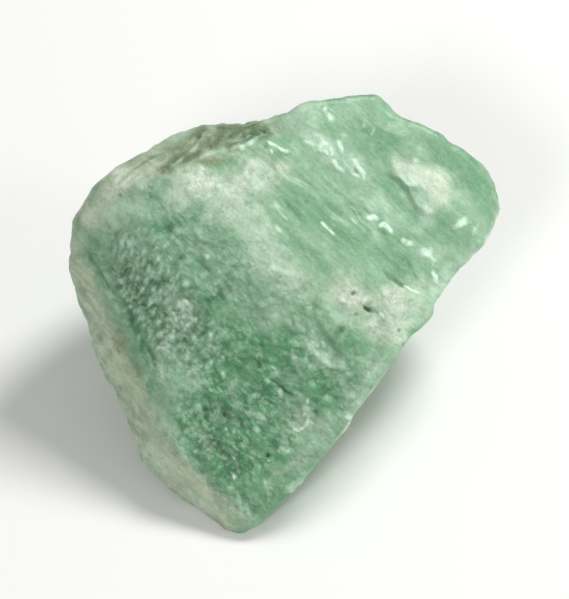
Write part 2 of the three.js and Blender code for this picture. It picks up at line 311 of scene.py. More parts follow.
# Markings on the two broad faces, in mm from the middle of the block. An oval is its u, v, half length,
# half width, clock that its length runs along, and strength. Milk is white clouds, mint pale green haze,
# plates are pale flakes that stand proud, beige and olive are weathered skin, and deep is darker green.
# Mint is partly painted light: the ridge bloom is a painted highlight where the ridge catches light, and
# the edge hazes a painted glow where light shines through the thin lower right edge. A deep strength
# beyond 1 also paints shade, as on the low broad face, by the left margin and beside the leaf.
# Rice is where the long grains are, and smooth where the sugary ones are missing.
markings = {
    "milk": {
        "topCloud": (-7.6, 11.6, 2.6, 1.5, 5, 1.0), "topCloudEnd": (-2.9, 12.3, 2.4, 1.9, 30, 1.0),
        "topCloudTail": (-5.4, 9.8, 2.6, 1.4, -25, 0.6), "ridgeGlow": (-2.4, 8.2, 1.8, 1.3, -60, 0.35),
        "ridgeFoot": (0.8, 2.9, 3.6, 1.4, -30, 0.45), "lowerCloud": (7.2, 1.0, 3.4, 1.9, -18, 0.95),
        "lowerCloudEnd": (10.6, 0.6, 3.2, 2.0, 30, 0.9), "lowerCloudFoot": (9.2, -1.4, 2.4, 1.2, -20, 0.8),
        "midSpot": (0.2, 12.8, 1.3, 0.9, -20, 0.7), "chainTop": (-9.2, 0.2, 1.5, 0.8, -50, 0.6),
        "chainMiddle": (-10.6, -3.0, 1.6, 0.7, -75, 0.6), "chainFoot": (-10.9, -5.9, 1.3, 0.7, -85, 0.45),
        "cornerHaze": (-17.1, 9.5, 1.8, 1.1, 45, 0.8), "upperStripHaze": (-14.9, 11.6, 2.6, 0.9, 35, 0.85),
        "lowEdgeGlow": (-10.2, -14.5, 4.4, 0.9, -42, 0.35),
        "tipStripGlow": (-6.7, -18.0, 2.4, 0.9, -35, 0.55), "lowSpeck": (-7.6, -12.0, 1.8, 0.9, -60, 0.3),
        "veinPatch": (1.6, -10.0, 1.5, 1.2, 0, 0.65), "lowRim": (0.4, -14.6, 3.0, 0.8, 48, 0.45),
    },
    "mint": {
        # the ridge ovals: partly a painted highlight where the ridge catches light
        "ridgeBloom": (-1.8, 6.2, 4.6, 1.5, -56, 0.8), "ridgeSpine": (-1.7, 6.3, 3.4, 1.2, -75, 0.8),
        "ridgeTurn": (0.9, 3.7, 2.8, 1.3, -30, 0.75), "shoulderEdge": (2.0, 18.7, 2.0, 0.8, 32, 0.8),
        "ridgeLow": (0.7, 1.7, 1.8, 0.9, -30, 0.5), "greenBreak": (-7.2, -2.6, 1.6, 0.9, -50, 0.45),
        "stripLight": (-12.2, -13.5, 2.0, 0.9, -55, 0.45), "centreBreak": (0.4, -1.3, 1.5, 0.8, -40, 0.4),
        "bandHazeLow": (8.0, 7.6, 1.8, 0.8, -45, 0.5), "cornerGlow": (-14.8, 9.5, 2.2, 1.4, 20, 1.0),
        "middleGlow": (-9.6, -0.4, 3.4, 1.5, -58, 0.65), "marginGlow": (-13.2, 3.9, 3.2, 1.4, -60, 0.4),
        "underLeafGlow": (12.4, 9.8, 1.6, 0.8, -40, 0.75),
        "lowStripGlow": (-11.1, -10.6, 2.0, 0.8, -60, 0.75), "facetRim": (4.8, -0.4, 2.2, 0.7, -15, 0.6),
        "stripTopGlow": (-9.5, 16.3, 2.4, 0.6, 32, 0.7), "edgeGlow": (11.7, -1.1, 1.8, 0.7, 50, 0.85),
        "braidHaze": (3.2, 15.4, 2.8, 0.9, -38, 0.8), "braidHazeFoot": (6.5, 13.3, 2.2, 0.8, -52, 0.7),
        "haze": (1.4, 13.4, 2.6, 1.4, -30, 0.3), "shoulderHaze": (2.2, 18.0, 2.2, 1.6, 20, 0.6),
        "rightHaze": (13.7, 15.6, 3.2, 1.0, -28, 0.1), "endHaze": (17.4, 8.0, 2.4, 1.2, -50, 0.35),
        "bandHaze": (8.6, 10.4, 3.4, 0.9, -40, 0.65), "innerHaze": (4.2, 5.4, 4.0, 0.9, -40, 0.4),
        "leafHaze": (12.8, 12.4, 3.4, 1.6, -42, 0.6), "leafHazeFoot": (15.4, 10.4, 1.6, 0.9, -30, 0.6),
        # edge hazes: painted glow where light shines through the thin lower right edge
        "edgeHaze": (8.0, -5.9, 5.2, 1.1, 52, 0.65), "edgeHazeFoot": (3.3, -11.7, 4.6, 0.9, 50, 0.35),
        "edgeHazeTop": (15.4, 3.0, 3.6, 0.9, 52, 0.85), "spotHaze": (14.1, 5.4, 2.0, 1.0, -30, 0.75),
        "middleHaze": (-8.5, -4.6, 2.2, 1.3, -60, 0.5), "curveHaze": (3.3, -3.9, 2.4, 0.9, -45, 0.6),
    },
    "plates": {
        "leafCore": (14.1, 11.9, 2.2, 1.15, -50, 0.8), "leafMiddle": (12.4, 13.0, 1.8, 1.0, -38, 0.65),
        "leafNeck": (11.3, 13.2, 1.7, 0.9, -35, 0.55), "leafEnd": (15.1, 10.6, 1.2, 0.75, -65, 0.65),
        "leafLobe": (14.5, 10.2, 1.3, 0.8, 50, 0.5), "topChip": (-7.6, 12.9, 0.45, 0.35, 0, 0.9),
        "cloudPlate": (-8.4, 11.8, 1.9, 1.0, -15, 0.6), "cloudPlateRight": (-2.8, 12.4, 2.0, 1.7, 60, 0.75),
        "cloudPlateMiddle": (-5.6, 11.3, 2.2, 1.2, -30, 0.6),
        "cloudPlateLow": (-5.0, 10.4, 1.3, 0.8, -40, 0.5), "bloomPlate": (-0.2, 4.6, 2.2, 0.7, -48, 0.2),
        "cloudChip": (5.4, 1.3, 0.8, 0.5, -50, 0.8), "cloudChipRight": (9.7, 1.5, 0.8, 0.6, 30, 0.7),
        "cloudChipLow": (8.4, -1.0, 1.0, 0.35, -10, 0.8),
    },
    "beige": {
        "topCorner": (-17.2, 9.0, 3.4, 1.8, 50, 0.75), "upperCorner": (-15.0, 11.5, 2.2, 1.0, 35, 0.9),
        "topEdge": (-13.2, 12.4, 3.6, 1.0, 28, 0.9), "cloudEdge": (-6.3, 14.1, 2.8, 0.9, 8, 0.8),
        "lowEdge": (-9.6, -14.4, 5.0, 1.5, -42, 0.85), "leftGrey": (-13.6, -6.2, 6.0, 1.7, -62, 0.25),
        "marginGrey": (-15.6, 2.6, 5.0, 1.1, -62, 0.35), "lowInner": (-6.1, -17.1, 3.2, 1.1, -45, 0.8),
        "tipGrey": (-3.4, -18.6, 2.6, 1.2, 30, 0.6),
    },
    "olive": {
        "oliveStrip": (-3.0, 16.9, 3.3, 1.4, 8, 1.4), "oliveFoot": (-9.4, 15.0, 3.0, 0.9, 25, 0.5),
        "oliveMiddle": (-7.6, 13.7, 2.6, 0.7, 8, 0.1), "oliveHollow": (-6.5, 13.9, 2.6, 0.8, 12, 0.5),
        "oliveFold": (-7.6, 16.3, 1.2, 0.8, 60, 0.7), "oliveRidge": (-6.3, 15.4, 2.0, 0.8, 25, 0.5),
        "cloudTop": (-9.1, 13.9, 2.6, 0.7, 25, 0.8), "marginOlive": (-14.6, -2.6, 5.0, 0.9, -62, 0.35),
    },
    "deep": {
        # strengths beyond 1 add painted shade to the darker green
        "leftGrainy": (-13.2, 2.0, 7.5, 3.2, -60, 0.35), "leftMargin": (-14.4, 0.2, 6.0, 1.0, -58, 0.5),
        "middleGreen": (-6.5, 0.5, 6.5, 3.6, -55, 0.45), "centreGreen": (-4.0, -5.0, 6.0, 3.6, -40, 1.5),
        "lowerGreen": (-4.0, -12.5, 6.4, 4.2, -50, 1.4), "upperGreen": (-12.5, 9.4, 4.0, 1.8, 20, 0.45),
        "lowCore": (-5.4, -13.0, 2.8, 1.7, -55, 2.3), "tipGreen": (-2.4, -17.6, 2.2, 1.0, 10, 1.0),
        "lowLeft": (-6.1, -8.9, 2.0, 1.1, -55, 2.1), "lowMargin": (-8.7, -10.6, 1.4, 0.9, -55, 1.5),
        "underPeak": (10.4, 16.5, 2.0, 1.1, -35, 1.1), "ridgeStart": (-0.7, 17.6, 1.6, 0.8, 20, 0.6),
        "cloudSide": (-0.7, 13.7, 1.6, 0.9, -45, 0.85), "lowGap": (-4.1, -9.1, 1.4, 0.9, -50, 2.4),
        "facetFoot": (6.9, 1.3, 1.6, 0.9, 40, 0.8), "ridgeSide": (3.9, 5.6, 2.4, 1.0, -50, 0.7),
        "marginDark": (-13.0, -2.8, 1.8, 0.7, -60, 1.2), "middleDark": (-6.1, 0.9, 1.5, 1.0, -60, 0.9),
        "rightShoulder": (17.6, 13.7, 1.8, 1.0, -55, 0.85), "leafSide": (11.5, 14.5, 1.5, 0.9, -45, 1.7),
        "linkSide": (7.4, 14.3, 1.6, 0.8, -45, 0.5), "facetLow": (8.0, -5.2, 1.6, 0.9, 40, 0.5),
        "belowCurve": (-7.8, 4.1, 1.2, 0.8, -40, 0.85), "facetTop": (4.3, 2.2, 1.4, 0.8, -35, 0.85),
        "lowRight": (4.5, -5.5, 3.4, 1.8, -55, 0.45), "centreRight": (0.7, -3.7, 3.2, 2.4, -50, 1.1),
        "rightLow": (3.0, -7.6, 3.4, 2.0, -60, 1.1), "upperMiddle": (-10.2, 7.8, 2.8, 1.6, 15, 0.75),
        "facet": (6.3, -2.8, 2.2, 1.6, 25, 0.6), "rightGreen": (11.3, 4.3, 3.0, 1.3, -55, 0.75),
        "bandGreen": (10.0, 5.9, 3.4, 0.9, -45, 0.4), "upperStreaks": (8.7, 15.8, 3.2, 1.5, -42, 0.8),
        "besideLeaf": (10.2, 11.1, 4.0, 1.0, -48, 0.35), "aboveLeaf": (15.4, 14.1, 3.6, 1.2, -45, 0.85),
        "rightEnd": (18.2, 10.6, 3.4, 1.8, -75, 0.95), "underLeaf": (14.1, 7.6, 2.4, 1.1, -20, 0.5),
        "bandMiddle": (3.7, 8.5, 5.0, 1.6, -46, 0.4), "ridgeStreaks": (1.6, 8.8, 2.4, 1.0, -48, 0.45),
    },
    "rice": {
        "leftRice": (-12.6, 1.9, 6.6, 3.4, -58, 1.0), "middleRice": (-9.0, -1.5, 6.5, 3.0, -62, 0.9),
        "lowRice": (-7.4, -10.8, 3.6, 1.8, -50, 0.75),
    },
    "smooth": {
        "upperSmooth": (-13.0, 9.1, 4.4, 1.9, 15, 0.8), "middleSmooth": (-8.5, -3.9, 1.8, 1.0, -50, 0.5),
        "ridgeSmooth": (-1.1, 4.1, 3.0, 1.2, -58, 0.5),
    },
}

# How far the edges of a group's ovals spread, and the series of the lumps that push them about
groupStyles = {
    "milk": (1.0, 51), "mint": (1.0, 211), "plates": (0.45, 221), "beige": (1.0, 191),
    "olive": (0.8, 181), "deep": (1.0, 61), "rice": (0.8, 231), "smooth": (1.0, 261),
}

# Outlines of the ovals: size and weight of the big and small lumps, how far these push a hard edge and
# how much farther a soft one, and where the edge's middle is, in half lengths and half widths
ovalOutline = {"bigLumps": (2.6, 1.0), "smallLumps": (1.0, 0.6), "push": (0.4, 0.4), "edge": 0.8}

# Narrow strokes there, in mm: the points of the stroke as u and v, half width, depth (below 0 stands
# proud), and how white (above 0) or dark (below 0) it is. White strokes are pale veins and specks, and
# painted glints: the braid, link and glint strokes are painted highlights where light catches splintered
# grain or an edge. Dark strokes are darker streaks and olive spots, and painted shade: sunk pits, folds,
# grooves and a crack darkened as if in shade, the shade strokes, and painted shade along the left margin.
strokes = {
    # braid, link and glint strokes: painted highlights along the splintered grain; the shade and gap strokes
    # among them are painted shade
    "braidLow": ([(1.4, 16.4), (2.0, 15.9), (2.5, 15.6), (3.3, 15.0), (3.9, 14.4)], 0.17, -0.07, 0.85),
    "braidStart": ([(2.1, 17.0), (2.3, 16.6)], 0.17, -0.06, 0.7),
    "braidTop": ([(2.6, 16.5), (3.3, 16.1), (3.9, 15.6), (4.3, 15.0)], 0.24, -0.07, 0.75),
    "braidMiddle": ([(3.3, 15.4), (3.8, 14.8), (4.1, 14.3)], 0.16, -0.07, 0.75),
    "braidCross": ([(4.2, 15.3), (4.6, 14.6), (4.3, 14.2)], 0.17, -0.06, 0.75),
    "braidDash": ([(5.0, 15.8), (5.2, 15.2), (5.5, 14.5)], 0.19, -0.07, 0.85),
    "linkLow": ([(4.4, 14.0), (4.9, 13.5), (5.6, 12.8)], 0.18, -0.07, 0.8),
    "linkMiddle": ([(5.5, 14.0), (6.0, 13.2)], 0.13, -0.05, 0.5),
    "linkInner": ([(6.1, 13.0), (6.5, 12.6), (7.1, 12.3)], 0.13, -0.05, 0.55),
    "linkHigh": ([(6.0, 14.4), (6.5, 13.9), (6.9, 13.2), (7.5, 12.6), (7.4, 12.0)], 0.19, -0.08, 0.9),
    "linkShade": ([(6.4, 13.3), (6.9, 12.7)], 0.15, 0.07, -0.35),
    "peakMarkLeft": ([(7.2, 17.4), (7.6, 16.9)], 0.18, -0.05, 0.55),
    "peakMarkRight": ([(8.7, 17.1), (8.4, 16.6), (7.9, 16.2)], 0.17, -0.05, 0.5),
    "braidFaint": ([(5.2, 16.3), (5.6, 15.8)], 0.17, -0.04, 0.4),
    "braidShade": ([(2.5, 15.8), (3.3, 15.4)], 0.14, 0.06, -0.25),
    "braidGap": ([(4.6, 15.4), (5.0, 14.5)], 0.16, 0.06, -0.3),
    "topGlint": ([(3.7, 18.8), (4.3, 18.0), (4.8, 17.6)], 0.2, -0.07, 0.95),
    "leftGlint": ([(-1.5, 15.8), (-0.6, 15.2), (0.7, 14.6)], 0.18, -0.07, 0.85),
    "leftGlintLow": ([(-1.3, 15.0), (-0.9, 14.5)], 0.13, -0.06, 0.6),
    "midGlint": ([(3.4, 8.2), (4.1, 7.7), (4.9, 6.9)], 0.16, -0.08, 1),
    "faintGlint": ([(6.2, 8.6), (6.8, 8.0)], 0.13, -0.04, 0.5),
    "ridgeGlint": ([(-0.6, 9.2), (0.4, 8.3)], 0.16, -0.06, 0.5),
    "bandStart": ([(7.6, 8.7), (8.1, 8.7), (8.9, 8.5)], 0.27, -0.07, 0.85),
    "bandStreak": ([(6.1, 10.0), (6.9, 8.9), (7.6, 7.8)], 0.13, -0.04, 0.45),
    "bandGlint": ([(8.7, 7.8), (9.3, 8.1), (9.8, 7.6), (10.2, 7.2)], 0.23, -0.08, 0.9),
    "bandShade": ([(8.9, 7.4), (9.5, 7.1)], 0.2, 0.06, -0.3),
    "endTail": ([(17.4, 6.9), (17.5, 5.9)], 0.17, -0.05, 0.45),
    "spotTail": ([(13.6, 5.2), (14.4, 4.6)], 0.18, -0.04, 0.6),
    "lowGlint": ([(11.1, 2.4), (11.9, 2.0), (12.8, 1.7)], 0.16, -0.07, 0.85),
    "lowGroove": ([(9.0, 4.0), (10.4, 2.8), (12.6, 1.4)], 0.22, 0.1, -0.45),
    "midGroove": ([(10.8, 5.4), (11.7, 4.3), (12.8, 2.8)], 0.22, 0.06, -0.3),
    "leafRim": ([(10.0, 14.1), (10.4, 13.2), (10.8, 12.5), (11.5, 11.8), (12.6, 11.5)], 0.2, -0.03, 0.6),
    "leafTop": ([(11.9, 14.1), (12.8, 13.9)], 0.24, -0.05, 0.6),
    "leafShadow": ([(10.8, 11.8), (11.5, 11.3), (12.4, 11.0), (13.5, 10.4)], 0.16, 0.02, -0.15),
    "leafFoot": ([(12.9, 9.8), (13.2, 9.5), (13.8, 9.1)], 0.26, -0.07, 0.85),
    "spotGlint": ([(12.6, 5.6), (13.2, 5.3), (13.9, 5.4)], 0.42, -0.07, 0.8),
    "rimGlint": ([(13.9, 3.9), (14.3, 3.3), (14.5, 2.6)], 0.24, -0.06, 0.8),
    "curveGlint": ([(3.5, -2.6), (3.9, -3.4)], 0.18, -0.05, 0.5),
    "curveShade": ([(2.8, -1.7), (3.5, -3.0), (4.3, -4.1)], 0.16, 0.08, -0.3),
    "facetShade": ([(5.4, -0.9), (5.0, -2.0), (4.3, -3.0)], 0.3, 0.1, -0.4),
    "veinFold": ([(0.2, -9.9), (1.1, -10.8), (1.5, -11.1), (2.2, -10.4), (2.5, -9.5)], 0.18, -0.05, 0.6),
    "veinFoot": ([(1.3, -11.3), (1.4, -11.9)], 0.16, -0.05, 0.5),
    "veinStem": ([(-0.5, -7.1), (-0.2, -7.5), (0.0, -8.2)], 0.22, -0.06, 0.6),
    "veinStart": ([(-1.0, -5.0), (-0.7, -5.6), (-0.4, -6.3)], 0.18, -0.05, 0.45),
    # margin strokes: painted shade along the left margin, where the bevel turns away from the light
    "marginUpper": ([(-18.4, 6.1), (-17.6, 4.8), (-16.9, 3.7), (-16.3, 2.6), (-15.4, 1.7)], 0.24, 0.1, -0.35),
    "marginArc": ([(-15.1, 2.5), (-14.8, 3.4), (-14.2, 4.0), (-13.6, 4.0)], 0.15, 0.1, -0.4),
    "marginMiddle": ([(-14.8, 1.5), (-14.3, 0.0), (-13.8, -1.1), (-13.1, -2.0)], 0.34, 0.12, -0.45),
    "marginFoot": ([(-13.1, -2.2), (-12.6, -3.3), (-11.9, -4.3), (-11.7, -5.2)], 0.3, 0.1, -0.32),
    "darkUpper": ([(-10.2, 4.1), (-9.7, 4.8), (-9.2, 5.2)], 0.18, 0.12, -0.4),
    "riceHigh": ([(-14.5, 6.9), (-14.1, 6.5), (-13.7, 6.3)], 0.2, -0.06, 0.5),
    "riceTop": ([(-7.4, 5.4), (-6.9, 4.9)], 0.2, -0.06, 0.45),
    "riceStroke": ([(-9.1, 1.3), (-8.7, 0.7), (-8.2, 0.2)], 0.2, -0.07, 0.6),
    "riceSpot": ([(-10.1, 0.0), (-9.9, -0.4), (-9.7, -0.8)], 0.24, -0.07, 0.65),
    "riceSpotLow": ([(-10.1, -1.2), (-9.8, -1.4), (-9.4, -1.4)], 0.2, -0.06, 0.5),
    "riceBow": ([(-11.8, -3.7), (-11.4, -3.3), (-10.8, -3.4), (-10.3, -3.0)], 0.22, -0.07, 0.6),
    "riceLow": ([(-11.2, -5.3), (-11.0, -5.9), (-11.1, -6.4)], 0.2, -0.06, 0.5),
    "speckOne": ([(-5.6, -5.5), (-5.5, -5.9), (-5.6, -6.3)], 0.26, -0.06, 0.6),
    "speckTwo": ([(-5.3, -10.6), (-5.1, -11.0)], 0.22, -0.06, 0.5),
    "speckThree": ([(-2.8, -8.0), (-2.4, -7.8), (-2.0, -7.9)], 0.26, -0.05, 0.4),
    "speckFour": ([(-4.7, -15.4), (-4.3, -15.1)], 0.22, -0.07, 0.7),
    "lowRimGlint": ([(0.0, -16.5), (0.9, -15.7), (2.0, -14.6)], 0.28, -0.05, 0.6),
    "bandFoot": ([(11.0, 6.7), (11.5, 6.4), (12.2, 6.2)], 0.28, -0.05, 0.7),
    "endGlint": ([(15.9, 7.8), (16.5, 8.2), (17.0, 7.9)], 0.36, -0.07, 0.95),
    "endSpot": ([(17.4, 7.6), (17.8, 7.5)], 0.34, -0.07, 0.9),
    "veinTop": ([(2.3, -8.7), (2.3, -7.8)], 0.13, -0.04, 0.4),
    "curve": ([(2.0, -2.4), (2.8, -3.5), (3.7, -4.4), (4.8, -5.1), (6.1, -5.4)], 0.3, -0.12, 0.5),
    # painted shade along the left margin
    "marginTop": ([(-16.6, 8.5), (-15.8, 7.8), (-15.0, 7.2)], 0.16, 0.06, -0.2),
    "streakOne": ([(0.0, 10.4), (1.1, 9.1), (2.2, 7.8)], 0.3, 0.06, -0.3),
    "streakTwo": ([(5.9, 9.9), (7.2, 8.2), (8.6, 6.5)], 0.2, 0.06, -0.3),
    "streakThree": ([(2.4, 5.6), (3.7, 3.9)], 0.26, 0.05, -0.2),
    "streakFour": ([(-0.5, 6.8), (0.5, 6.0)], 0.2, 0.05, -0.28),
    "paleOne": ([(-1.4, 10.0), (-0.1, 9.0)], 0.26, -0.04, 0.35),
    "paleTwo": ([(-0.8, 7.9), (0.5, 6.6)], 0.26, -0.04, 0.35),
    "peakEdge": ([(8.5, 19.7), (9.5, 19.0), (10.6, 18.1), (11.9, 17.3)], 0.24, -0.03, 0.45),
    "braidSide": ([(5.3, 16.3), (5.9, 15.9)], 0.22, -0.05, 0.5),
    "lowLeftShade": ([(-6.3, -8.2), (-5.6, -9.1), (-5.2, -10.0)], 0.6, 0.1, -0.4),
    "cloudDot": ([(-7.9, 13.0), (-7.4, 12.8)], 0.36, -0.06, 0.9),
    "lobeCrest": ([(-2.4, 13.2), (-2.5, 12.4), (-2.7, 11.5), (-2.9, 10.8)], 0.42, -0.05, 0.35),
    "lobeArc": ([(-3.7, 13.8), (-2.8, 14.0), (-2.0, 13.6), (-1.3, 12.8)], 0.28, -0.04, 0.35),
    "lobeFoot": ([(-6.3, 11.7), (-5.6, 11.3), (-5.1, 10.5)], 0.28, -0.05, 0.4),
    "lobeGap": ([(-4.7, 11.1), (-4.6, 11.5)], 0.24, -0.05, 0.55),
    "ridgeDashHigh": ([(-0.9, 10.1), (-0.3, 9.4)], 0.32, -0.05, 0.45),
    "ridgeDash": ([(-0.8, 8.0), (-0.5, 7.6), (-0.2, 7.3)], 0.28, -0.05, 0.5),
    "ridgeCurve": ([(-1.2, 4.7), (-0.7, 4.0), (0.0, 3.7), (0.7, 3.5)], 0.28, -0.05, 0.55),
    "ridgeSpot": ([(1.1, 2.4), (1.4, 2.5)], 0.34, -0.04, 0.5),
    "ridgeSpotHigh": ([(0.5, 5.2), (0.8, 5.4)], 0.26, -0.04, 0.4),
    "besideLobe": ([(-1.0, 11.6), (-0.7, 11.1), (-0.4, 10.7)], 0.28, 0.05, -0.25),
    "besideLobeHigh": ([(-0.6, 12.8), (-0.8, 12.0)], 0.24, 0.04, -0.2),
    "ridgeShade": ([(0.0, 10.0), (0.4, 9.3), (1.0, 8.7), (1.5, 7.6)], 0.3, 0.06, -0.25),
    "ridgeShadeLow": ([(-0.5, 6.6), (-0.1, 6.2), (0.3, 6.1)], 0.28, 0.06, -0.3),
    "lobeMark": ([(-3.6, 10.3), (-3.3, 9.7)], 0.32, 0.05, -0.22),
    "lobeMarkRight": ([(-2.4, 10.3), (-1.9, 9.7)], 0.26, 0.04, -0.2),
    "underCloud": ([(-5.9, 9.4), (-5.1, 9.1)], 0.34, 0.05, -0.22),
    "underCloudStem": ([(-5.8, 8.9), (-6.0, 8.2), (-5.9, 7.5)], 0.24, 0.05, -0.24),
    "greenMark": ([(-8.8, 9.7), (-8.7, 8.8)], 0.32, 0.06, -0.28),
    "middleSpot": ([(-7.1, 5.2), (-6.8, 4.9)], 0.28, -0.06, 0.5),
    "middleGlint": ([(-8.9, 5.4), (-8.7, 5.7), (-8.4, 5.9)], 0.26, -0.06, 0.55),
    "middleGlintLow": ([(-6.2, 3.8), (-5.7, 3.3)], 0.32, -0.05, 0.4),
    "middleGlintLeft": ([(-9.3, 2.7), (-8.5, 2.5)], 0.28, -0.05, 0.4),
    # pits, folds and grooves: sunk a little and darkened with painted shade
    "middlePit": ([(-9.7, 5.0), (-9.2, 4.8)], 0.28, 0.1, -0.45),
    "middlePitHigh": ([(-10.0, 6.2), (-9.6, 5.8)], 0.24, 0.08, -0.35),
    "middlePitLeft": ([(-10.4, 3.8), (-9.9, 4.2)], 0.24, 0.08, -0.35),
    "middlePitFar": ([(-11.2, 3.3), (-10.8, 3.0), (-10.4, 2.7)], 0.24, 0.08, -0.35),
    "middlePitRight": ([(-6.4, 3.2), (-5.9, 2.9)], 0.28, 0.08, -0.4),
    "middleFold": ([(-8.6, 2.0), (-7.7, 2.2)], 0.26, 0.08, -0.38),
    "middleFoldHigh": ([(-7.3, 4.2), (-6.7, 3.8)], 0.24, 0.08, -0.33),
    "middleFoldRight": ([(-5.7, 2.3), (-5.9, 1.3)], 0.32, 0.07, -0.33),
    "middleFoldLow": ([(-7.2, 0.9), (-6.2, 1.2)], 0.38, 0.08, -0.38),
    "deepFold": ([(-4.1, -4.1), (-3.6, -4.5), (-3.1, -4.3)], 0.26, 0.09, -0.4),
    "deepFoldRight": ([(-2.5, -4.6), (-2.1, -5.4)], 0.26, 0.08, -0.35),
    "deepFoldLow": ([(-3.0, -6.4), (-2.2, -6.9)], 0.26, 0.08, -0.32),
    "deepShade": ([(0.2, -5.8), (0.7, -6.4)], 0.34, 0.06, -0.32),
    "leftPit": ([(-7.2, -8.8), (-6.9, -10.0)], 0.32, 0.08, -0.4),
    "lowFold": ([(-3.4, -8.9), (-3.8, -9.6), (-4.1, -10.0)], 0.26, 0.07, -0.32),
    "veinPit": ([(3.0, -9.1), (3.3, -9.8)], 0.26, 0.08, -0.4),
    "lowFoldLeft": ([(-5.8, -12.9), (-4.9, -13.5)], 0.26, 0.07, -0.35),
    "tipFold": ([(-6.4, -15.7), (-5.7, -16.2)], 0.26, 0.06, -0.35),
    "facetStart": ([(4.0, -2.8), (4.8, -2.6)], 0.28, 0.07, -0.35),
    "facetTopFold": ([(5.6, -1.1), (5.1, -2.1)], 0.28, 0.06, -0.3),
    "facetFold": ([(2.5, -6.5), (3.3, -6.2)], 0.26, 0.06, -0.28),
    "speckHigh": ([(-6.7, -1.7), (-6.6, -2.5), (-6.9, -3.3)], 0.32, -0.05, 0.4),
    "speckLeft": ([(-7.1, -10.5), (-7.0, -11.1)], 0.28, -0.06, 0.45),
    "speckLeftLow": ([(-7.6, -11.8), (-7.4, -11.9)], 0.26, -0.06, 0.6),
    "speckSmall": ([(-4.1, -11.9), (-3.9, -11.6)], 0.24, -0.05, 0.45),
    "speckRight": ([(0.4, -12.7), (0.7, -13.2)], 0.28, -0.05, 0.45),
    "speckFoot": ([(-2.7, -14.2), (-2.0, -14.5)], 0.32, -0.05, 0.4),
    "speckTip": ([(-1.9, -15.7), (-1.0, -16.1)], 0.28, -0.06, 0.5),
    "speckFar": ([(1.7, -4.7), (2.1, -5.3)], 0.28, -0.05, 0.4),
    "edgeDash": ([(5.8, -9.9), (6.2, -9.3)], 0.28, -0.05, 0.5),
    "edgeDashHigh": ([(6.8, -8.6), (7.2, -8.1)], 0.28, -0.05, 0.5),
    # the crack and the pits in the lower cloud: sunk and darkened with painted shade
    "crack": ([(-1.5, -6.1), (-0.7, -6.6), (0.2, -7.4), (1.1, -8.0)], 0.12, 0.12, -0.6),
    "cloudPit": ([(7.4, 0.6), (8.0, 0.2), (8.7, -0.1)], 0.22, 0.2, -0.6),
    "cloudPitSmall": ([(6.3, 1.9), (6.7, 1.7)], 0.24, 0.15, -0.55),
    "cloudPitLeft": ([(6.6, -0.2), (6.9, -0.3)], 0.22, 0.12, -0.5),
    "cloudPitLow": ([(10.4, -1.6), (10.8, -1.8)], 0.24, 0.12, -0.5),
    "cloudGlint": ([(9.0, -0.2), (9.3, -0.5)], 0.16, -0.07, 0.9),
    "lowPit": ([(-1.35, -13.2), (-1.25, -13.25)], 0.26, 0.35, -1),
    "speckFive": ([(-4.4, -15.0), (-4.4, -15.4)], 0.19, -0.08, 0.9),
    "speckSix": ([(-1.3, -13.7), (-1.3, -13.9)], 0.16, -0.07, 0.9),
    "oliveShade": ([(-5.2, 16.2), (-3.9, 16.5), (-2.4, 16.8)], 0.5, 0.12, -0.45),
    "oliveSpot": ([(-3.3, 16.8), (-2.4, 16.7), (-1.6, 17.0)], 0.3, 0.2, -0.6),
    "oliveSpotLeft": ([(-8.0, 15.6), (-7.6, 16.4), (-7.2, 17.0)], 0.28, 0.12, -0.35),
    "stripFold": ([(-15.4, 11.5), (-13.2, 13.2), (-10.8, 15.0)], 0.22, 0.1, -0.3),
    "stripLine": ([(-14.8, 11.1), (-12.6, 12.6), (-10.0, 14.3)], 0.2, -0.05, 0.35),
    "stripVein": ([(-9.9, 13.2), (-6.6, 14.6), (-3.7, 15.3), (-2.2, 16.3), (-1.2, 16.9)], 0.24, -0.05, 0.4),
    "stripNode": ([(-4.1, 15.1), (-3.5, 15.4)], 0.32, -0.06, 0.7),
    "stripVeinCross": ([(-10.9, 12.5), (-8.2, 15.0), (-6.8, 16.5)], 0.21, -0.06, 0.4),
}

# How strokes waver, break up and swell, each as lump size, strength and series, and how they thin out
strokeStyle = {
    "waver": (0.7, 0.13, 161), "breaks": (0.42, 0.4, 165), "mostUnbroken": 1.2,
    "swelling": (0.6, 0.35, 168), "meanSwelling": 0.95, "endThinning": 0.7,
}


def frontShare(points):
    # Smoothstep from 0 at w = 0.6 mm to 1 at 3.6 mm: the front, where the broad faces are
    return smoothStep(points[:, 2] / 3 - 0.2)


def markingStrength(points, group):
    # The strongest of a group's ovals at each point: 1 - smoothstep of the distance in half lengths and
    # half widths, from the edge's middle less its softness to the middle more, with the outline pushed
    # about by lumps
    spread, series = groupStyles[group]
    (bigSize, bigWeight), (smallSize, smallWeight) = ovalOutline["bigLumps"], ovalOutline["smallLumps"]
    stray = bigWeight * strays(points, bigSize, series, 2)
    stray += smallWeight * strays(points, smallSize, series + 5, 2)
    hardPush, softPush = ovalOutline["push"]
    plane = points[:, :2] + (hardPush + softPush * spread) * stray
    best = np.zeros(len(points))
    for u, v, halfLength, halfWidth, clock, strength in markings[group].values():
        away = plane - (u, v)
        turn = direction(clock, 0)[:2]
        along = away @ turn / halfLength
        across = (away[:, 1] * turn[0] - away[:, 0] * turn[1]) / halfWidth
        fall = (np.hypot(along, across) / ovalOutline["edge"] - 1 + spread) / (2 * spread)
        best = np.maximum(best, strength * (1 - smoothStep(fall)))
    return best * frontShare(points)


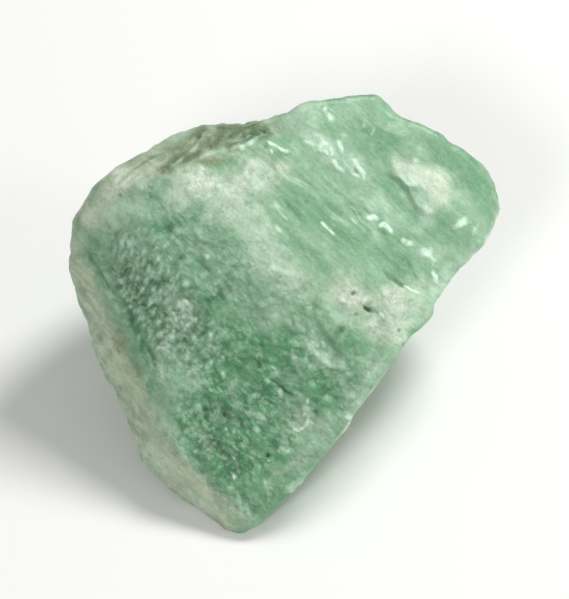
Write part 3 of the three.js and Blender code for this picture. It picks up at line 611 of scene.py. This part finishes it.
def strokeFields(points):
    # Over each stroke's half width, 1 - distance squared, taken with the stroke's depth and its tone;
    # the strokes waver and break up by lumps, and thin out towards both ends. Gives the summed depth, the
    # brightest and the darkest tone: the bright ones pale veins and painted glints, the dark ones dark
    # marks and painted shade.
    size, strength, series = strokeStyle["waver"]
    plane = points[:, :2] + strength * strays(points, size, series, 2)
    size, strength, series = strokeStyle["breaks"]
    broken = np.clip(1 + strength * lumps(points, size, series), 0, strokeStyle["mostUnbroken"])
    size, strength, series = strokeStyle["swelling"]
    uneven = strokeStyle["meanSwelling"] + strength * lumps(points, size, series)
    shown = frontShare(points) * broken
    depths, bright, dark = np.zeros(len(points)), np.zeros(len(points)), np.zeros(len(points))
    for path, halfWidth, depth, tone in strokes.values():
        nearest, travel = np.full(len(points), farAway), np.zeros(len(points))
        for step, (start, end) in enumerate(zip(np.array(path[:-1]), np.array(path[1:]))):
            span = end - start
            part = np.clip((plane - start) @ span / (span @ span), 0, 1)
            away = ((plane - start - part[:, None] * span) ** 2).sum(axis=1) / halfWidth ** 2
            travel = np.where(away < nearest, (step + part) / (len(path) - 1), travel)
            nearest = np.minimum(nearest, away)
        thinned = 1 - strokeStyle["endThinning"] * (2 * travel - 1) ** 4
        near = np.maximum(0, thinned * uneven - nearest / 2) * shown
        depths += depth * near
        bright = np.maximum(bright, near * max(tone, 0))
        dark = np.maximum(dark, near * max(-tone, 0))
    return depths, bright, dark


def boxGrid(steps, half, middle):
    # Rays from the block's middle through an even grid on each side of a box of about its size. Places
    # count half squares, because the side in front of the two broad faces has squares half as wide.
    # Points that sides share are made one, and corners run anticlockwise seen from outside. A square
    # along the fine side's border is three triangles that take in the border's middle point.
    ends = 2 * steps
    places, quads, count = [], [], 0
    for axis in range(3):
        across, up = (axis + 1) % 3, (axis + 2) % 3
        for side in (0, ends[axis]):
            stride = 1 if axis == 2 and side else 2
            row, column = np.meshgrid(np.arange(0, ends[across] + 1, stride),
                                      np.arange(0, ends[up] + 1, stride), indexing="ij")
            spot = np.arange(row.size).reshape(row.shape) + count
            square = np.stack([spot[:-1, :-1], spot[1:, :-1], spot[1:, 1:], spot[:-1, 1:]], axis=-1)
            square = square.reshape(-1, 4)
            place = np.empty(row.shape + (3,), dtype=int)
            place[..., axis], place[..., across], place[..., up] = side, row, column
            quads.append(square if side else square[:, ::-1])
            places.append(place.reshape(-1, 3))
            count += row.size
    places, merged = np.unique(np.concatenate(places), axis=0, return_inverse=True)
    quads = merged.reshape(-1)[np.concatenate(quads)]
    weights = np.array([(ends.max() + 1) ** 2, ends.max() + 1, 1])
    keys = places @ weights
    stitches, plain = [], np.ones(len(quads), dtype=bool)
    for first in range(4):
        a, b, c, d = (quads[:, (first + k) % 4] for k in range(4))
        wide = np.abs(places[a] - places[b]).sum(axis=1) == 2
        meets = wide & (places[a, 2] == ends[2]) & (places[b, 2] == ends[2])
        between = np.searchsorted(keys, (places[a] + places[b])[meets] // 2 @ weights)
        a, b, c, d = (corner[meets] for corner in (a, b, c, d))
        for corners in ((a, between, d), (between, b, c), (between, c, d)):
            stitches.append(np.stack(corners, axis=1))
        plain &= ~meets
    rays = (places / ends * 2 - 1) * half + middle
    return rays / np.linalg.norm(rays, axis=1, keepdims=True), quads[plain], np.concatenate(stitches)


def splitSquares(quads, points):
    # Two triangles a square, cut along the diagonal whose middle lies farther out, which keeps the
    # block's edges crisp where they cross the grid
    a, b, c, d = (points[quads[:, k]] for k in range(4))
    outerAc = np.linalg.norm(a + c, axis=1) > np.linalg.norm(b + d, axis=1)
    cutAc = np.concatenate([quads[:, [0, 1, 2]], quads[:, [0, 2, 3]]], axis=1)
    cutBd = np.concatenate([quads[:, [0, 1, 3]], quads[:, [1, 2, 3]]], axis=1)
    return np.where(outerAc[:, None], cutAc, cutBd).reshape(-1, 3)


# Kinds of surface, as how much of each face belongs to them. A rim is where one of the faces in front
# meets one at the side.
surfaceKinds = {
    "broad": {"broadFace": 1, "leftBevel": 1, "ridgeBevel": 0.5},
    "striated": {"striatedFace": 1, "rightEnd": 0.5},
    "strips": {"leftStrip": 1, "lowerLeftStrip": 1, "leftCorner": 1, "tipRim": 0.2},
    "upperStrip": {"upperLeftStrip": 1},
    "rimFront": {"lowerRightRim": 1, "rightEnd": 1, "striatedFace": 1, "topRightRim": 1},
    "rimSide": {"lowerRight": 1, "rightLower": 1, "right": 1, "upperRight": 0.6},
    # lowRim adds a little painted edge highlight over the whole lower right rim face
    "lowRim": {"lowerRightRim": 0.15},
    "resting": {"restingFace": 1},
}

# Patches that an amount comes and goes in: lump size, series, middle, contrast, least amount and gain
patchStyles = {
    "rimHighlight": (1.7, 85, 0.5, 0.8, 0.35, 0.9),
    "sugar": (2.0, 83, 0.55, 0.9, 0.4, 0.6),
}
wallPatches = (4.0, 81)     # lump size and series


def patches(points, name):
    # Least amount + gain x smoothstep of (middle + contrast x lumps)
    size, series, middle, contrast, least, gain = patchStyles[name]
    return least + gain * smoothStep(middle + contrast * lumps(points, size, series))


def surfaceFields(points, shares):
    # How much there is of each kind of surface and marking at every point: 0 is none, 1 is full, and a
    # strong marking goes beyond
    field = {}
    for kind, faces in surfaceKinds.items():
        field[kind] = sum(weight * shares[:, faceNames.index(face)] for face, weight in faces.items())
    for group in markings:
        field[group] = markingStrength(points, group)
    walls = np.clip(1 - field["broad"] - field["striated"] - field["resting"], 0, 1)
    field["walls"] = walls
    field["sides"] = walls * smoothStep(1.2 - points[:, 2] / 6)     # fades out towards the front
    field["strips"] = np.maximum(field["strips"], field["beige"])

    # where a front face meets a side face the edge is painted pale in patches:
    # a painted highlight where light catches the edge and shines through the thin stone
    worn = (4 * field["rimFront"] * field["rimSide"]) ** 1.5
    field["rimHighlight"] = worn * patches(points, "rimHighlight") + field["lowRim"]

    # long grains in their ovals, sugary ones in patches on the rest of the broad faces, fewer where it
    # is milky or smooth and more where it is deep green
    rice = field["broad"] * field["rice"]
    sugar = field["broad"] * (0.6 + 0.4 * np.minimum(field["deep"], 1)) * (1 - rice)
    sugar *= (1 - 0.4 * np.minimum(field["milk"], 1)) * patches(points, "sugar") * (1 - field["smooth"])
    field["rice"], field["sugar"], field["grainy"] = rice, sugar, rice + sugar
    return field


# What the solid leaves out: crystal grains, fine splinters, chips and pits, as size and depth in mm and
# the series of their random numbers. A grain is its width, its length, the clock it lies along, its
# depth, how far its shade strays, and its series.
fineRelief = {
    "riceGrains": (0.42, 0.8, 50.0, 0.38, 1.25, 101), "sugarGrains": (0.6, 0.75, -42.0, 0.16, 0.75, 111),
    "wallGrains": (0.9, 1.3, -42.0, 0.3, 0.4, 121), "grainBend": (2.4, 0.3, 241),
    "splinters": (1.5, 0.07, 121), "fineSplinters": (0.75, 0.03, 131),
    "chips": (1.6, 0.55, 141), "ripple": (1.1, 0.05, 151),
    "plateHeight": 0.07, "plateRoughness": (0.55, 0.1, 251),
    "pits": {"spacing": 2.1, "chance": 0.35, "radii": (0.18, 0.45), "series": 90}, "pitDepth": 0.2,
}


def fineDepths(points, field):
    # Depth sunk at each point by what the solid leaves out: grains, splinters, chips, ripple, pits,
    # strokes and plates. Adds to field the grains' random tones, the gaps between them, which the finish
    # paints with shade, the pits and the tones of the strokes.
    fine = fineRelief
    size, depth, series = fine["grainBend"]
    bent = points + depth * strays(points, size, series, 3)
    grains = {
        "riceGrains": field["rice"],
        "sugarGrains": field["sugar"],
        "wallGrains": 0.35 * field["walls"] + 0.65 * field["sides"] + 0.3 * field["broad"],
    }
    relief, tones, gaps = 0, 0, 0
    for name, amount in grains.items():
        width, length, clock, depth, shading, series = fine[name]
        number, dome, height = crystalGrains(bent, width, length, clock, series)
        relief = relief + depth * amount * (dome + height - 0.5 * number)
        tones = tones + shading * amount * number
        gaps = np.maximum(gaps, shading * amount * dome)

    walls, striated = field["walls"], field["striated"]
    patchy = 0.5 + 0.5 * lumps(points, *wallPatches)
    relief += repeatedRelief(fine, {
        "splinters": (grainLedges, points, (striated + 0.4 * walls) * (0.4 + patchy)),
        "fineSplinters": (grainLedges, points, striated + 0.2 * walls),
        "chips": (chippedBowls, points, -walls * (0.3 + 0.7 * patchy)),
        "ripple": (lumps, points, 1),
        "plateRoughness": (lumps, bent, field["plates"]),
    })
    pitted = pits(points, **fine["pits"])
    relief += fine["pitDepth"] * pitted * (0.35 + 0.65 * field["grainy"])
    strokeDepths, bright, dark = strokeFields(points)
    field.update(tones=tones, gaps=gaps, pitted=pitted, bright=bright, dark=dark)
    return relief + strokeDepths - fine["plateHeight"] * field["plates"]


# What the finish reads from the mesh
finishFields = ("milk", "mint", "plates", "deep", "olive", "strips", "upperStrip", "striated", "grainy",
                "sides", "rimHighlight", "tones", "gaps", "pitted", "bright", "dark")


def stoneMesh(points, triangles, field):
    # The points in metres and the triangles, with a number at each point for every field of the finish
    mesh = bpy.data.meshes.new("aventurineStone")
    mesh.vertices.add(len(points))
    mesh.vertices.foreach_set("co", (points * metre).ravel())
    mesh.loops.add(triangles.size)
    mesh.loops.foreach_set("vertex_index", triangles.ravel().astype(np.int32))
    mesh.polygons.add(len(triangles))
    mesh.polygons.foreach_set("loop_start", np.arange(0, triangles.size, 3, dtype=np.int32))
    mesh.update(calc_edges=True)
    mesh.validate()
    mesh.shade_smooth()
    for name in finishFields:
        numbers = mesh.attributes.new(name, "FLOAT", "POINT").data
        numbers.foreach_set("value", field[name].astype(np.float32))
    return mesh


def buildBlock():
    # Point = smooth block's surface on the ray - lift x (main relief + fine relief - allowance), turned
    # as it lies, centred over the origin and cut off flat at the ground
    grid = (np.array(block[name]) for name in ("gridSteps", "gridHalf", "gridMiddle"))
    rays, quads, stitches = boxGrid(*grid)
    points, shares, lift = blockSurface(rays)
    field = surfaceFields(points, shares)
    relief = mainRelief(points, shares) + fineDepths(points, field) - block["skinAllowance"]
    sunk = relief * (1 - field["resting"])
    shaped = toWorld(points - lift * sunk[:, None])
    low, high = shaped.min(axis=0), shaped.max(axis=0)
    shaped -= ((low[0] + high[0]) / 2, (low[1] + high[1]) / 2, -block["restDepth"])
    shaped[:, 2] = np.maximum(shaped[:, 2], 0)

    triangles = np.concatenate([splitSquares(quads, points), stitches])
    stone = bpy.data.objects.new("aventurineStone", stoneMesh(shaped, triangles, field))
    bpy.context.scene.collection.objects.link(stone)
    print("stone built:", len(shaped), "points,", len(triangles), "triangles")
    return stone


stone = buildBlock()
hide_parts("aventurine_block")
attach(stone, "root")

# The finish: colours as the eye sees them (sRGB), blended by the fields that the block carries
finish = {
    "colours": {
        # Some colours paint light as well: the shadow colour and the pit colour paint shade in grain gaps,
        # pits, folds and on the low broad face besides dark marks, the glint colour paints highlights besides
        # pale veins, and the sugar and mint colours also carry painted sparkle, edge highlight and edge glow.
        "paleGreen": (0.54, 0.69, 0.565), "midGreen": (0.44, 0.63, 0.47), "deepGreen": (0.31, 0.585, 0.385),
        "greyGreen": (0.37, 0.57, 0.42), "milky": (0.88, 0.915, 0.84), "milkShade": (0.80, 0.85, 0.76),
        "beige": (0.74, 0.78, 0.67), "greyBeige": (0.58, 0.65, 0.535), "olive": (0.335, 0.415, 0.24),
        "darkGreenAndShade": (0.16, 0.35, 0.20), "pitShadeAndDarkSpot": (0.09, 0.17, 0.10), "sugar": (0.70, 0.84, 0.73),
        "mint": (0.74, 0.85, 0.745), "glint": (0.84, 0.95, 0.86),
    },
    # least and most roughness, refraction, and a thin clear sheen
    "roughness": (0.35, 0.61), "refraction": 1.54, "coat": 0.16, "coatRoughness": 0.2,
    # bump heights in mm: tilted grain planes where no grains are and what grainy places add, then lumps
    # and streaks
    "facets": (0.12, 0.5), "fineFacets": (0.15, 0.35), "lumpHeight": 0.12, "streakHeight": 0.05,
    # grains to a mm, and what places are multiplied by along the grain, across it and in depth, which
    # draws the pattern out where it is under 1
    "facetScale": 2.9, "fineFacetScale": 5.0,
    "facetStretch": (0.6, 1.0, 0.8), "streakStretch": (0.16, 1.0, 0.5),
}

# Noises of the finish: scale per mm, detail, roughness, distortion and series. The wild ones place the
# markings of the sides and back.
evenNoises = {
    "clouds": (0.17, 4.0, 0.6, 0.6, 0.0), "mottle": (0.8, 5.0, 0.65, 0.3, 0.0),
    "speckle": (2.6, 3.0, 0.7, 0.0, 0.0), "haze": (0.45, 5.0, 0.62, 0.8, 13.0),
    "stripSpots": (1.0, 4.0, 0.65, 0.5, 17.0), "oliveSpots": (1.3, 4.0, 0.65, 0.5, 19.0),
    "milkTone": (1.5, 4.0, 0.7, 0.4, 23.0), "wildMilk": (0.2, 5.0, 0.6, 1.0, 3.0),
    "wildDeep": (0.16, 4.0, 0.6, 0.8, 7.0), "wildSkin": (0.13, 5.0, 0.65, 0.8, 9.0),
    "wildOlive": (0.18, 5.0, 0.7, 0.8, 11.0),
    "lumps": (2.2, 5.0, 0.7, 0.0, 0.0), "gloss": (0.9, 4.0, 0.55, 0.0, 0.0),
}
streakNoises = {
    "streaks": (1.1, 5.0, 0.65, 0.2, 0.0), "fineStreaks": (3.0, 3.0, 0.6, 0.0, 0.0),
    "wildVein": (0.3, 3.0, 0.5, 0.3, 5.0),
}


def linear(colour):
    # Seen colour to light: ((c + 0.055) / 1.055) to the power 2.4
    return tuple(((c + 0.055) / 1.055) ** 2.4 for c in colour) + (1.0,)


class NodeBuilder:
    # Short calls that add a node, set its fixed inputs and wire the rest
    def __init__(self, material):
        self.tree = material.node_tree
        self.nodes = self.tree.nodes
        self.colours = {name: linear(seen) for name, seen in finish["colours"].items()}

    def add(self, kind, settings=None, **inputs):
        node = self.nodes.new(kind)
        for name, value in (settings or {}).items():
            setattr(node, name, value)
        for name, value in inputs.items():
            self.put(node, name, value)
        return node

    def put(self, node, name, value):
        # An input by its place, as in _0, or by its name with _ for a space
        socket = node.inputs[int(name[1:])] if name[0] == "_" else node.inputs[name.replace("_", " ")]
        if isinstance(value, bpy.types.NodeSocket):
            self.tree.links.new(value, socket)
        else:
            socket.default_value = value

    def field(self, name):
        return self.add("ShaderNodeAttribute", {"attribute_name": name}).outputs["Fac"]

    def math(self, operation, a, b=0.0, c=0.0, clamp=False):
        settings = {"operation": operation, "use_clamp": clamp}
        return self.add("ShaderNodeMath", settings, _0=a, _1=b, _2=c).outputs[0]

    def total(self, a, b, clamp=False):
        return self.math("ADD", a, b, clamp=clamp)

    def most(self, a, b):
        return self.math("MAXIMUM", a, b)

    def scaled(self, value, gain, offset):
        return self.math("MULTIPLY_ADD", value, gain, offset)

    def product(self, *factors):
        result = factors[0]
        for factor in factors[1:]:
            result = self.math("MULTIPLY", result, factor)
        return result

    def vector(self, operation, a, b):
        return self.add("ShaderNodeVectorMath", {"operation": operation}, _0=a, _1=b)

    def noise(self, place, scale, detail, roughness, distortion, series):
        node = self.add("ShaderNodeTexNoise", {"noise_dimensions": "4D"}, Vector=place, W=series,
                        Scale=scale, Detail=detail, Roughness=roughness, Distortion=distortion)
        return node.outputs["Fac"]

    def ramp(self, value, low, high, lowest=0.0, highest=1.0):
        # Soft step: lowest up to low, highest from high on
        node = self.add("ShaderNodeMapRange", {"interpolation_type": "SMOOTHSTEP"}, Value=value,
                        From_Min=low, From_Max=high, To_Min=lowest, To_Max=highest)
        return node.outputs["Result"]

    def facets(self, place, scale):
        # Grains of one size: a random number each, and the height of a plane tilted at random
        cells = self.add("ShaderNodeTexVoronoi", Vector=place, Scale=scale)
        away = self.vector("SUBTRACT", place, cells.outputs["Position"]).outputs[0]
        slope = self.vector("SUBTRACT", cells.outputs["Color"], (0.5, 0.5, 0.5)).outputs[0]
        number = self.add("ShaderNodeSeparateColor", Color=cells.outputs["Color"]).outputs[0]
        return number, self.vector("DOT_PRODUCT", slope, away).outputs["Value"]

    def mix(self, amount, first, second):
        # Colours are sockets or names from the finish
        node = self.add("ShaderNodeMix", {"data_type": "RGBA"})
        for index, value in ((0, amount), (6, first), (7, second)):
            self.put(node, f"_{index}", self.colours[value] if isinstance(value, str) else value)
        return node.outputs[2]

    def layers(self, body, *coats):
        # Colours laid over the body one after another, each by its amount
        for amount, colour in coats:
            body = self.mix(amount, body, colour)
        return body


def stonePatterns(build):
    # Every noise of the finish, and the grains: a number and a height for the large and the small ones
    objectPlace = build.add("ShaderNodeTexCoord").outputs["Object"]
    inMm = build.add("ShaderNodeVectorMath", {"operation": "SCALE"}, _0=objectPlace, Scale=1 / metre)
    place = inMm.outputs[0]
    turn = (np.radians(broadFaceRise - 90), 0.0, np.radians(-grainClock))
    turned = build.add("ShaderNodeMapping", Vector=place, Rotation=turn).outputs[0]
    streakPlace = build.vector("MULTIPLY", turned, finish["streakStretch"]).outputs[0]
    facetPlace = build.vector("MULTIPLY", turned, finish["facetStretch"]).outputs[0]
    pattern = {name: build.noise(place, *settings) for name, settings in evenNoises.items()}
    for name, settings in streakNoises.items():
        pattern[name] = build.noise(streakPlace, *settings)
    pattern["grainNumber"], pattern["grainHeight"] = build.facets(facetPlace, finish["facetScale"])
    pattern["fineNumber"], pattern["fineHeight"] = build.facets(facetPlace, finish["fineFacetScale"])
    return pattern


def spreadToSides(build, field, pattern):
    # The sides and back carry clouds, deep patches, pale veins and weathered skin placed by noise
    fromMiddle = build.math("ABSOLUTE", build.math("SUBTRACT", pattern["wildVein"], 0.5))
    wildMilk = build.most(build.ramp(pattern["wildMilk"], 0.54, 0.72, 0.0, 0.8),
                          build.ramp(fromMiddle, 0.05, 0.0, 0.0, 0.4))
    wild = {
        "milk": wildMilk, "deep": build.ramp(pattern["wildDeep"], 0.46, 0.62),
        "strips": build.ramp(pattern["wildSkin"], 0.52, 0.62),
        "olive": build.ramp(pattern["wildOlive"], 0.56, 0.68), "grainy": 0.4, "striated": 0.5,
    }
    for name, amount in wild.items():
        field[name] = build.most(field[name], build.product(field["sides"], amount))


def greenAndSkins(build, field, pattern):
    # Green of the stone, deeper in patches that the mottling eats into, under beige and olive skins
    ramp, product, mottle = build.ramp, build.product, pattern["mottle"]
    greenMix = build.total(product(pattern["clouds"], 0.9), product(mottle, 0.7))
    body = build.mix(ramp(greenMix, 0.62, 1.0), "midGreen", "paleGreen")
    deepSpeckled = build.total(field["deep"], build.scaled(mottle, 1.4, -0.7))
    deepTone = build.mix(field["striated"], "deepGreen", "greyGreen")
    body = build.mix(product(ramp(deepSpeckled, 0.05, 0.95), 0.9), body, deepTone)

    stripGrain = build.scaled(pattern["streaks"], 0.6, product(mottle, 0.4))
    skin = build.layers(
        build.mix(ramp(stripGrain, 0.4, 0.6), "greyBeige", "beige"),
        (product(ramp(pattern["stripSpots"], 0.5, 0.66), 0.28), "midGreen"),
        (product(ramp(pattern["oliveSpots"], 0.56, 0.7), 0.22), "olive"),
    )
    stripEaten = build.total(field["strips"], build.scaled(mottle, 1.2, -0.6))
    oliveSpeckled = build.total(field["olive"], build.scaled(mottle, 1.6, -0.8))
    return build.layers(
        body,
        (product(ramp(stripEaten, 0.15, 0.85), ramp(pattern["clouds"], 0.3, 0.5, 0.7, 1.0)), skin),
        (product(field["upperStrip"], ramp(mottle, 0.2, 0.5, 0.6, 1.0)), skin),
        (product(ramp(oliveSpeckled, 0.1, 0.7), 0.85), "olive"),
    )


def cloudsAndHaze(build, body, field, pattern):
    # Haze and streaks along the grain, mint haze with the painted edge highlight, then milky clouds and pale
    # plates
    ramp, product = build.ramp, build.product
    striated, mottle, streaks = field["striated"], pattern["mottle"], pattern["streaks"]
    notDeep = build.math("SUBTRACT", 1.0, field["deep"], clamp=True)
    haze = product(ramp(pattern["haze"], 0.48, 0.70, 0.0, 0.3), notDeep)
    streakMilk = product(ramp(streaks, 0.52, 0.74), striated, 0.3)
    fineMilk = product(ramp(pattern["fineStreaks"], 0.56, 0.72), striated, 0.15)
    eaten = build.total(product(mottle, 0.9), product(pattern["speckle"], 0.5))
    milk = product(field["milk"], ramp(eaten, 0.5, 0.88, 0.35, 1.2))
    plates = product(field["plates"], ramp(eaten, 0.4, 0.8, 0.45, 1.1))
    mint = product(field["mint"], ramp(eaten, 0.4, 0.85, 0.5, 1.1))
    # painted highlight along the edges, laid on in mint
    rimHighlight = product(field["rimHighlight"], ramp(mottle, 0.3, 0.6, 0.2, 1.1))
    milkTone = build.mix(ramp(pattern["milkTone"], 0.4, 0.6), "milkShade", "milky")
    return build.layers(
        body,
        (build.total(haze, build.total(streakMilk, fineMilk), clamp=True), "sugar"),
        (build.most(mint, rimHighlight), "mint"),
        (build.most(milk, plates), milkTone),
        (product(ramp(streaks, 0.46, 0.28), striated, 0.2), "deepGreen"),
    )


def grainsAndStrokes(build, body, field, pattern):
    # Grains, each its own random tone, partly grain colour and partly painted highlight and shade of its
    # facet, with painted shade in the gaps between them, then pits and narrow strokes on top
    ramp, product, scaled = build.ramp, build.product, build.scaled
    grainy, deep, tones, dark = field["grainy"], field["deep"], field["tones"], field["dark"]
    speckle = pattern["speckle"]
    return build.layers(
        body,
        # each grain's random tone: lighter grains partly painted highlight, darker ones partly painted shade
        (product(ramp(tones, 0.02, 0.32, 0.0, 0.7), ramp(deep, 0.9, 1.4, 1.0, 0.6)), "sugar"),
        (ramp(tones, -0.06, -0.4, 0.0, 0.5), "darkGreenAndShade"),
        # painted shade in the gaps between grains
        (ramp(field["gaps"], 0.02, 0.3, 0.0, 0.3), "darkGreenAndShade"),
        # painted shade where deep goes beyond 1
        (ramp(deep, 1.0, 2.0, 0.0, 0.5), "darkGreenAndShade"),
        # small facets lighter and darker by a random number, and pale specks: partly grain colour, partly
        # painted sparkle and shade
        (product(ramp(pattern["grainNumber"], 0.5, 0.95), scaled(grainy, 0.2, 0.1)), "sugar"),
        (product(ramp(pattern["fineNumber"], 0.4, 0.05), scaled(grainy, 0.2, 0.08)), "darkGreenAndShade"),
        (product(ramp(speckle, 0.56, 0.72), scaled(grainy, 0.15, 0.12)), "sugar"),
        # painted shade in the pits
        (product(ramp(field["pitted"], 0.25, 0.9), 0.35), "darkGreenAndShade"),
        # dark strokes: darker streaks and olive spots, and painted shade in pits, folds, grooves, the crack
        # and along the left margin
        (ramp(dark, 0.05, 0.7), "darkGreenAndShade"),
        # the darkest strokes: painted shade deep in pits and the crack, and dark olive spots
        (ramp(dark, 0.5, 1.0), "pitShadeAndDarkSpot"),
        # white strokes: pale veins and specks, and painted glints, which are highlights where light catches
        # grain and edges
        (product(ramp(field["bright"], 0.05, 0.9), ramp(speckle, 0.3, 0.5, 0.5, 1.0)), "glint"),
    )


def bumpHeight(build, field, pattern):
    # Height in mm: tilted grain planes, large and fine, with lumps and streaks added
    planes = []
    for name, amounts in (("grainHeight", "facets"), ("fineHeight", "fineFacets")):
        least, gain = finish[amounts]
        planes.append(build.product(pattern[name], build.scaled(field["grainy"], gain, least)))
    height = build.total(build.total(*planes), build.product(pattern["lumps"], finish["lumpHeight"]))
    streaks = build.product(pattern["fineStreaks"], field["striated"], finish["streakHeight"])
    return build.total(height, streaks)


def stoneMaterial():
    material = bpy.data.materials.new("greenAventurine")
    material.use_nodes = True
    build = NodeBuilder(material)
    shader = build.nodes["Principled BSDF"]
    field = {name: build.field(name) for name in finishFields}
    pattern = stonePatterns(build)
    spreadToSides(build, field, pattern)
    body = greenAndSkins(build, field, pattern)
    body = cloudsAndHaze(build, body, field, pattern)
    body = grainsAndStrokes(build, body, field, pattern)
    bump = build.add("ShaderNodeBump", Height=bumpHeight(build, field, pattern), Strength=1.0, Distance=metre)

    build.put(shader, "Base_Color", body)
    build.put(shader, "Normal", bump.outputs[0])
    build.put(shader, "Roughness", build.ramp(pattern["gloss"], 0.3, 0.7, *finish["roughness"]))
    build.put(shader, "Coat_Weight", finish["coat"])
    build.put(shader, "Coat_Roughness", finish["coatRoughness"])
    build.put(shader, "IOR", finish["refraction"])
    print("stone finished:", len(build.nodes), "nodes")
    return material


stone.data.materials.append(stoneMaterial())

# Metres and degrees. A light is its azimuth, rise, distance, size and power in watts. The camera stands
# so far off that the stone fills fillOfWidth of the picture's width.
studio = {
    "floorHalf": 1.2, "floorColour": (0.93, 0.93, 0.92), "floorRoughness": 0.9,
    "skyColour": (1.0, 1.0, 1.0), "skyStrength": 0.32,
    "lights": {
        "key": (130, 56, 0.45, 0.16, 1.5),
        "side": (78, 14, 0.5, 0.12, 0.65),
        "front": (-20, 42, 0.5, 0.12, 0.75),
    },
    "cameraRise": 50.0, "lens": 420.0, "fillOfWidth": 0.76, "imageSize": (569, 599),
    "nearClipShare": 0.05, "farClip": 20.0,
}


def towards(azimuth, rise):
    # Unit vector from the stone to where a viewer at this azimuth stands; azimuth 0 is at -Y
    azimuth, rise = np.radians(azimuth), np.radians(rise)
    return Vector((np.sin(azimuth) * np.cos(rise), -np.cos(azimuth) * np.cos(rise), np.sin(rise)))


def aimAt(thing, middle, azimuth, rise, distance):
    # Stands a light or camera off from the middle and turns it there
    thing.location = middle + towards(azimuth, rise) * distance
    thing.rotation_euler = (middle - thing.location).to_track_quat("-Z", "Y").to_euler()
    bpy.context.scene.collection.objects.link(thing)


def buildFloor():
    half = studio["floorHalf"]
    mesh = bpy.data.meshes.new("floor")
    corners = [(-half, -half, 0), (half, -half, 0), (half, half, 0), (-half, half, 0)]
    mesh.from_pydata(corners, [], [(0, 1, 2, 3)])
    floor = bpy.data.objects.new("floor", mesh)
    bpy.context.scene.collection.objects.link(floor)
    paint = bpy.data.materials.new("paleFloor")
    paint.use_nodes = True
    paintShader = paint.node_tree.nodes["Principled BSDF"]
    paintShader.inputs["Base Color"].default_value = linear(studio["floorColour"])
    paintShader.inputs["Roughness"].default_value = studio["floorRoughness"]
    mesh.materials.append(paint)


def buildStudio():
    scene = bpy.context.scene
    low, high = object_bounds()
    middle = (low + high) / 2
    buildFloor()
    world = bpy.data.worlds.new("studioWorld")
    world.use_nodes = True
    sky = world.node_tree.nodes["Background"]
    sky.inputs["Color"].default_value = studio["skyColour"] + (1.0,)
    sky.inputs["Strength"].default_value = studio["skyStrength"]
    scene.world = world
    for name, (azimuth, rise, distance, size, power) in studio["lights"].items():
        lamp = bpy.data.lights.new(name, "AREA")
        lamp.shape, lamp.size, lamp.energy = "DISK", size, power
        aimAt(bpy.data.objects.new(name, lamp), middle, azimuth, rise, distance)

    camera = bpy.data.objects.new("camera", bpy.data.cameras.new("camera"))
    camera.data.lens = studio["lens"]
    camera.data.sensor_fit = "HORIZONTAL"
    spread = (high.x - low.x) / studio["fillOfWidth"]
    distance = spread * studio["lens"] / camera.data.sensor_width
    aimAt(camera, middle, 0, studio["cameraRise"], distance)
    camera.data.clip_start, camera.data.clip_end = distance * studio["nearClipShare"], studio["farClip"]
    scene.camera = camera
    scene.view_settings.view_transform = "Standard"
    width, height = studio["imageSize"]
    print("studio set: camera", round(distance, 3), "m away, image", width, "x", height)


buildStudio()
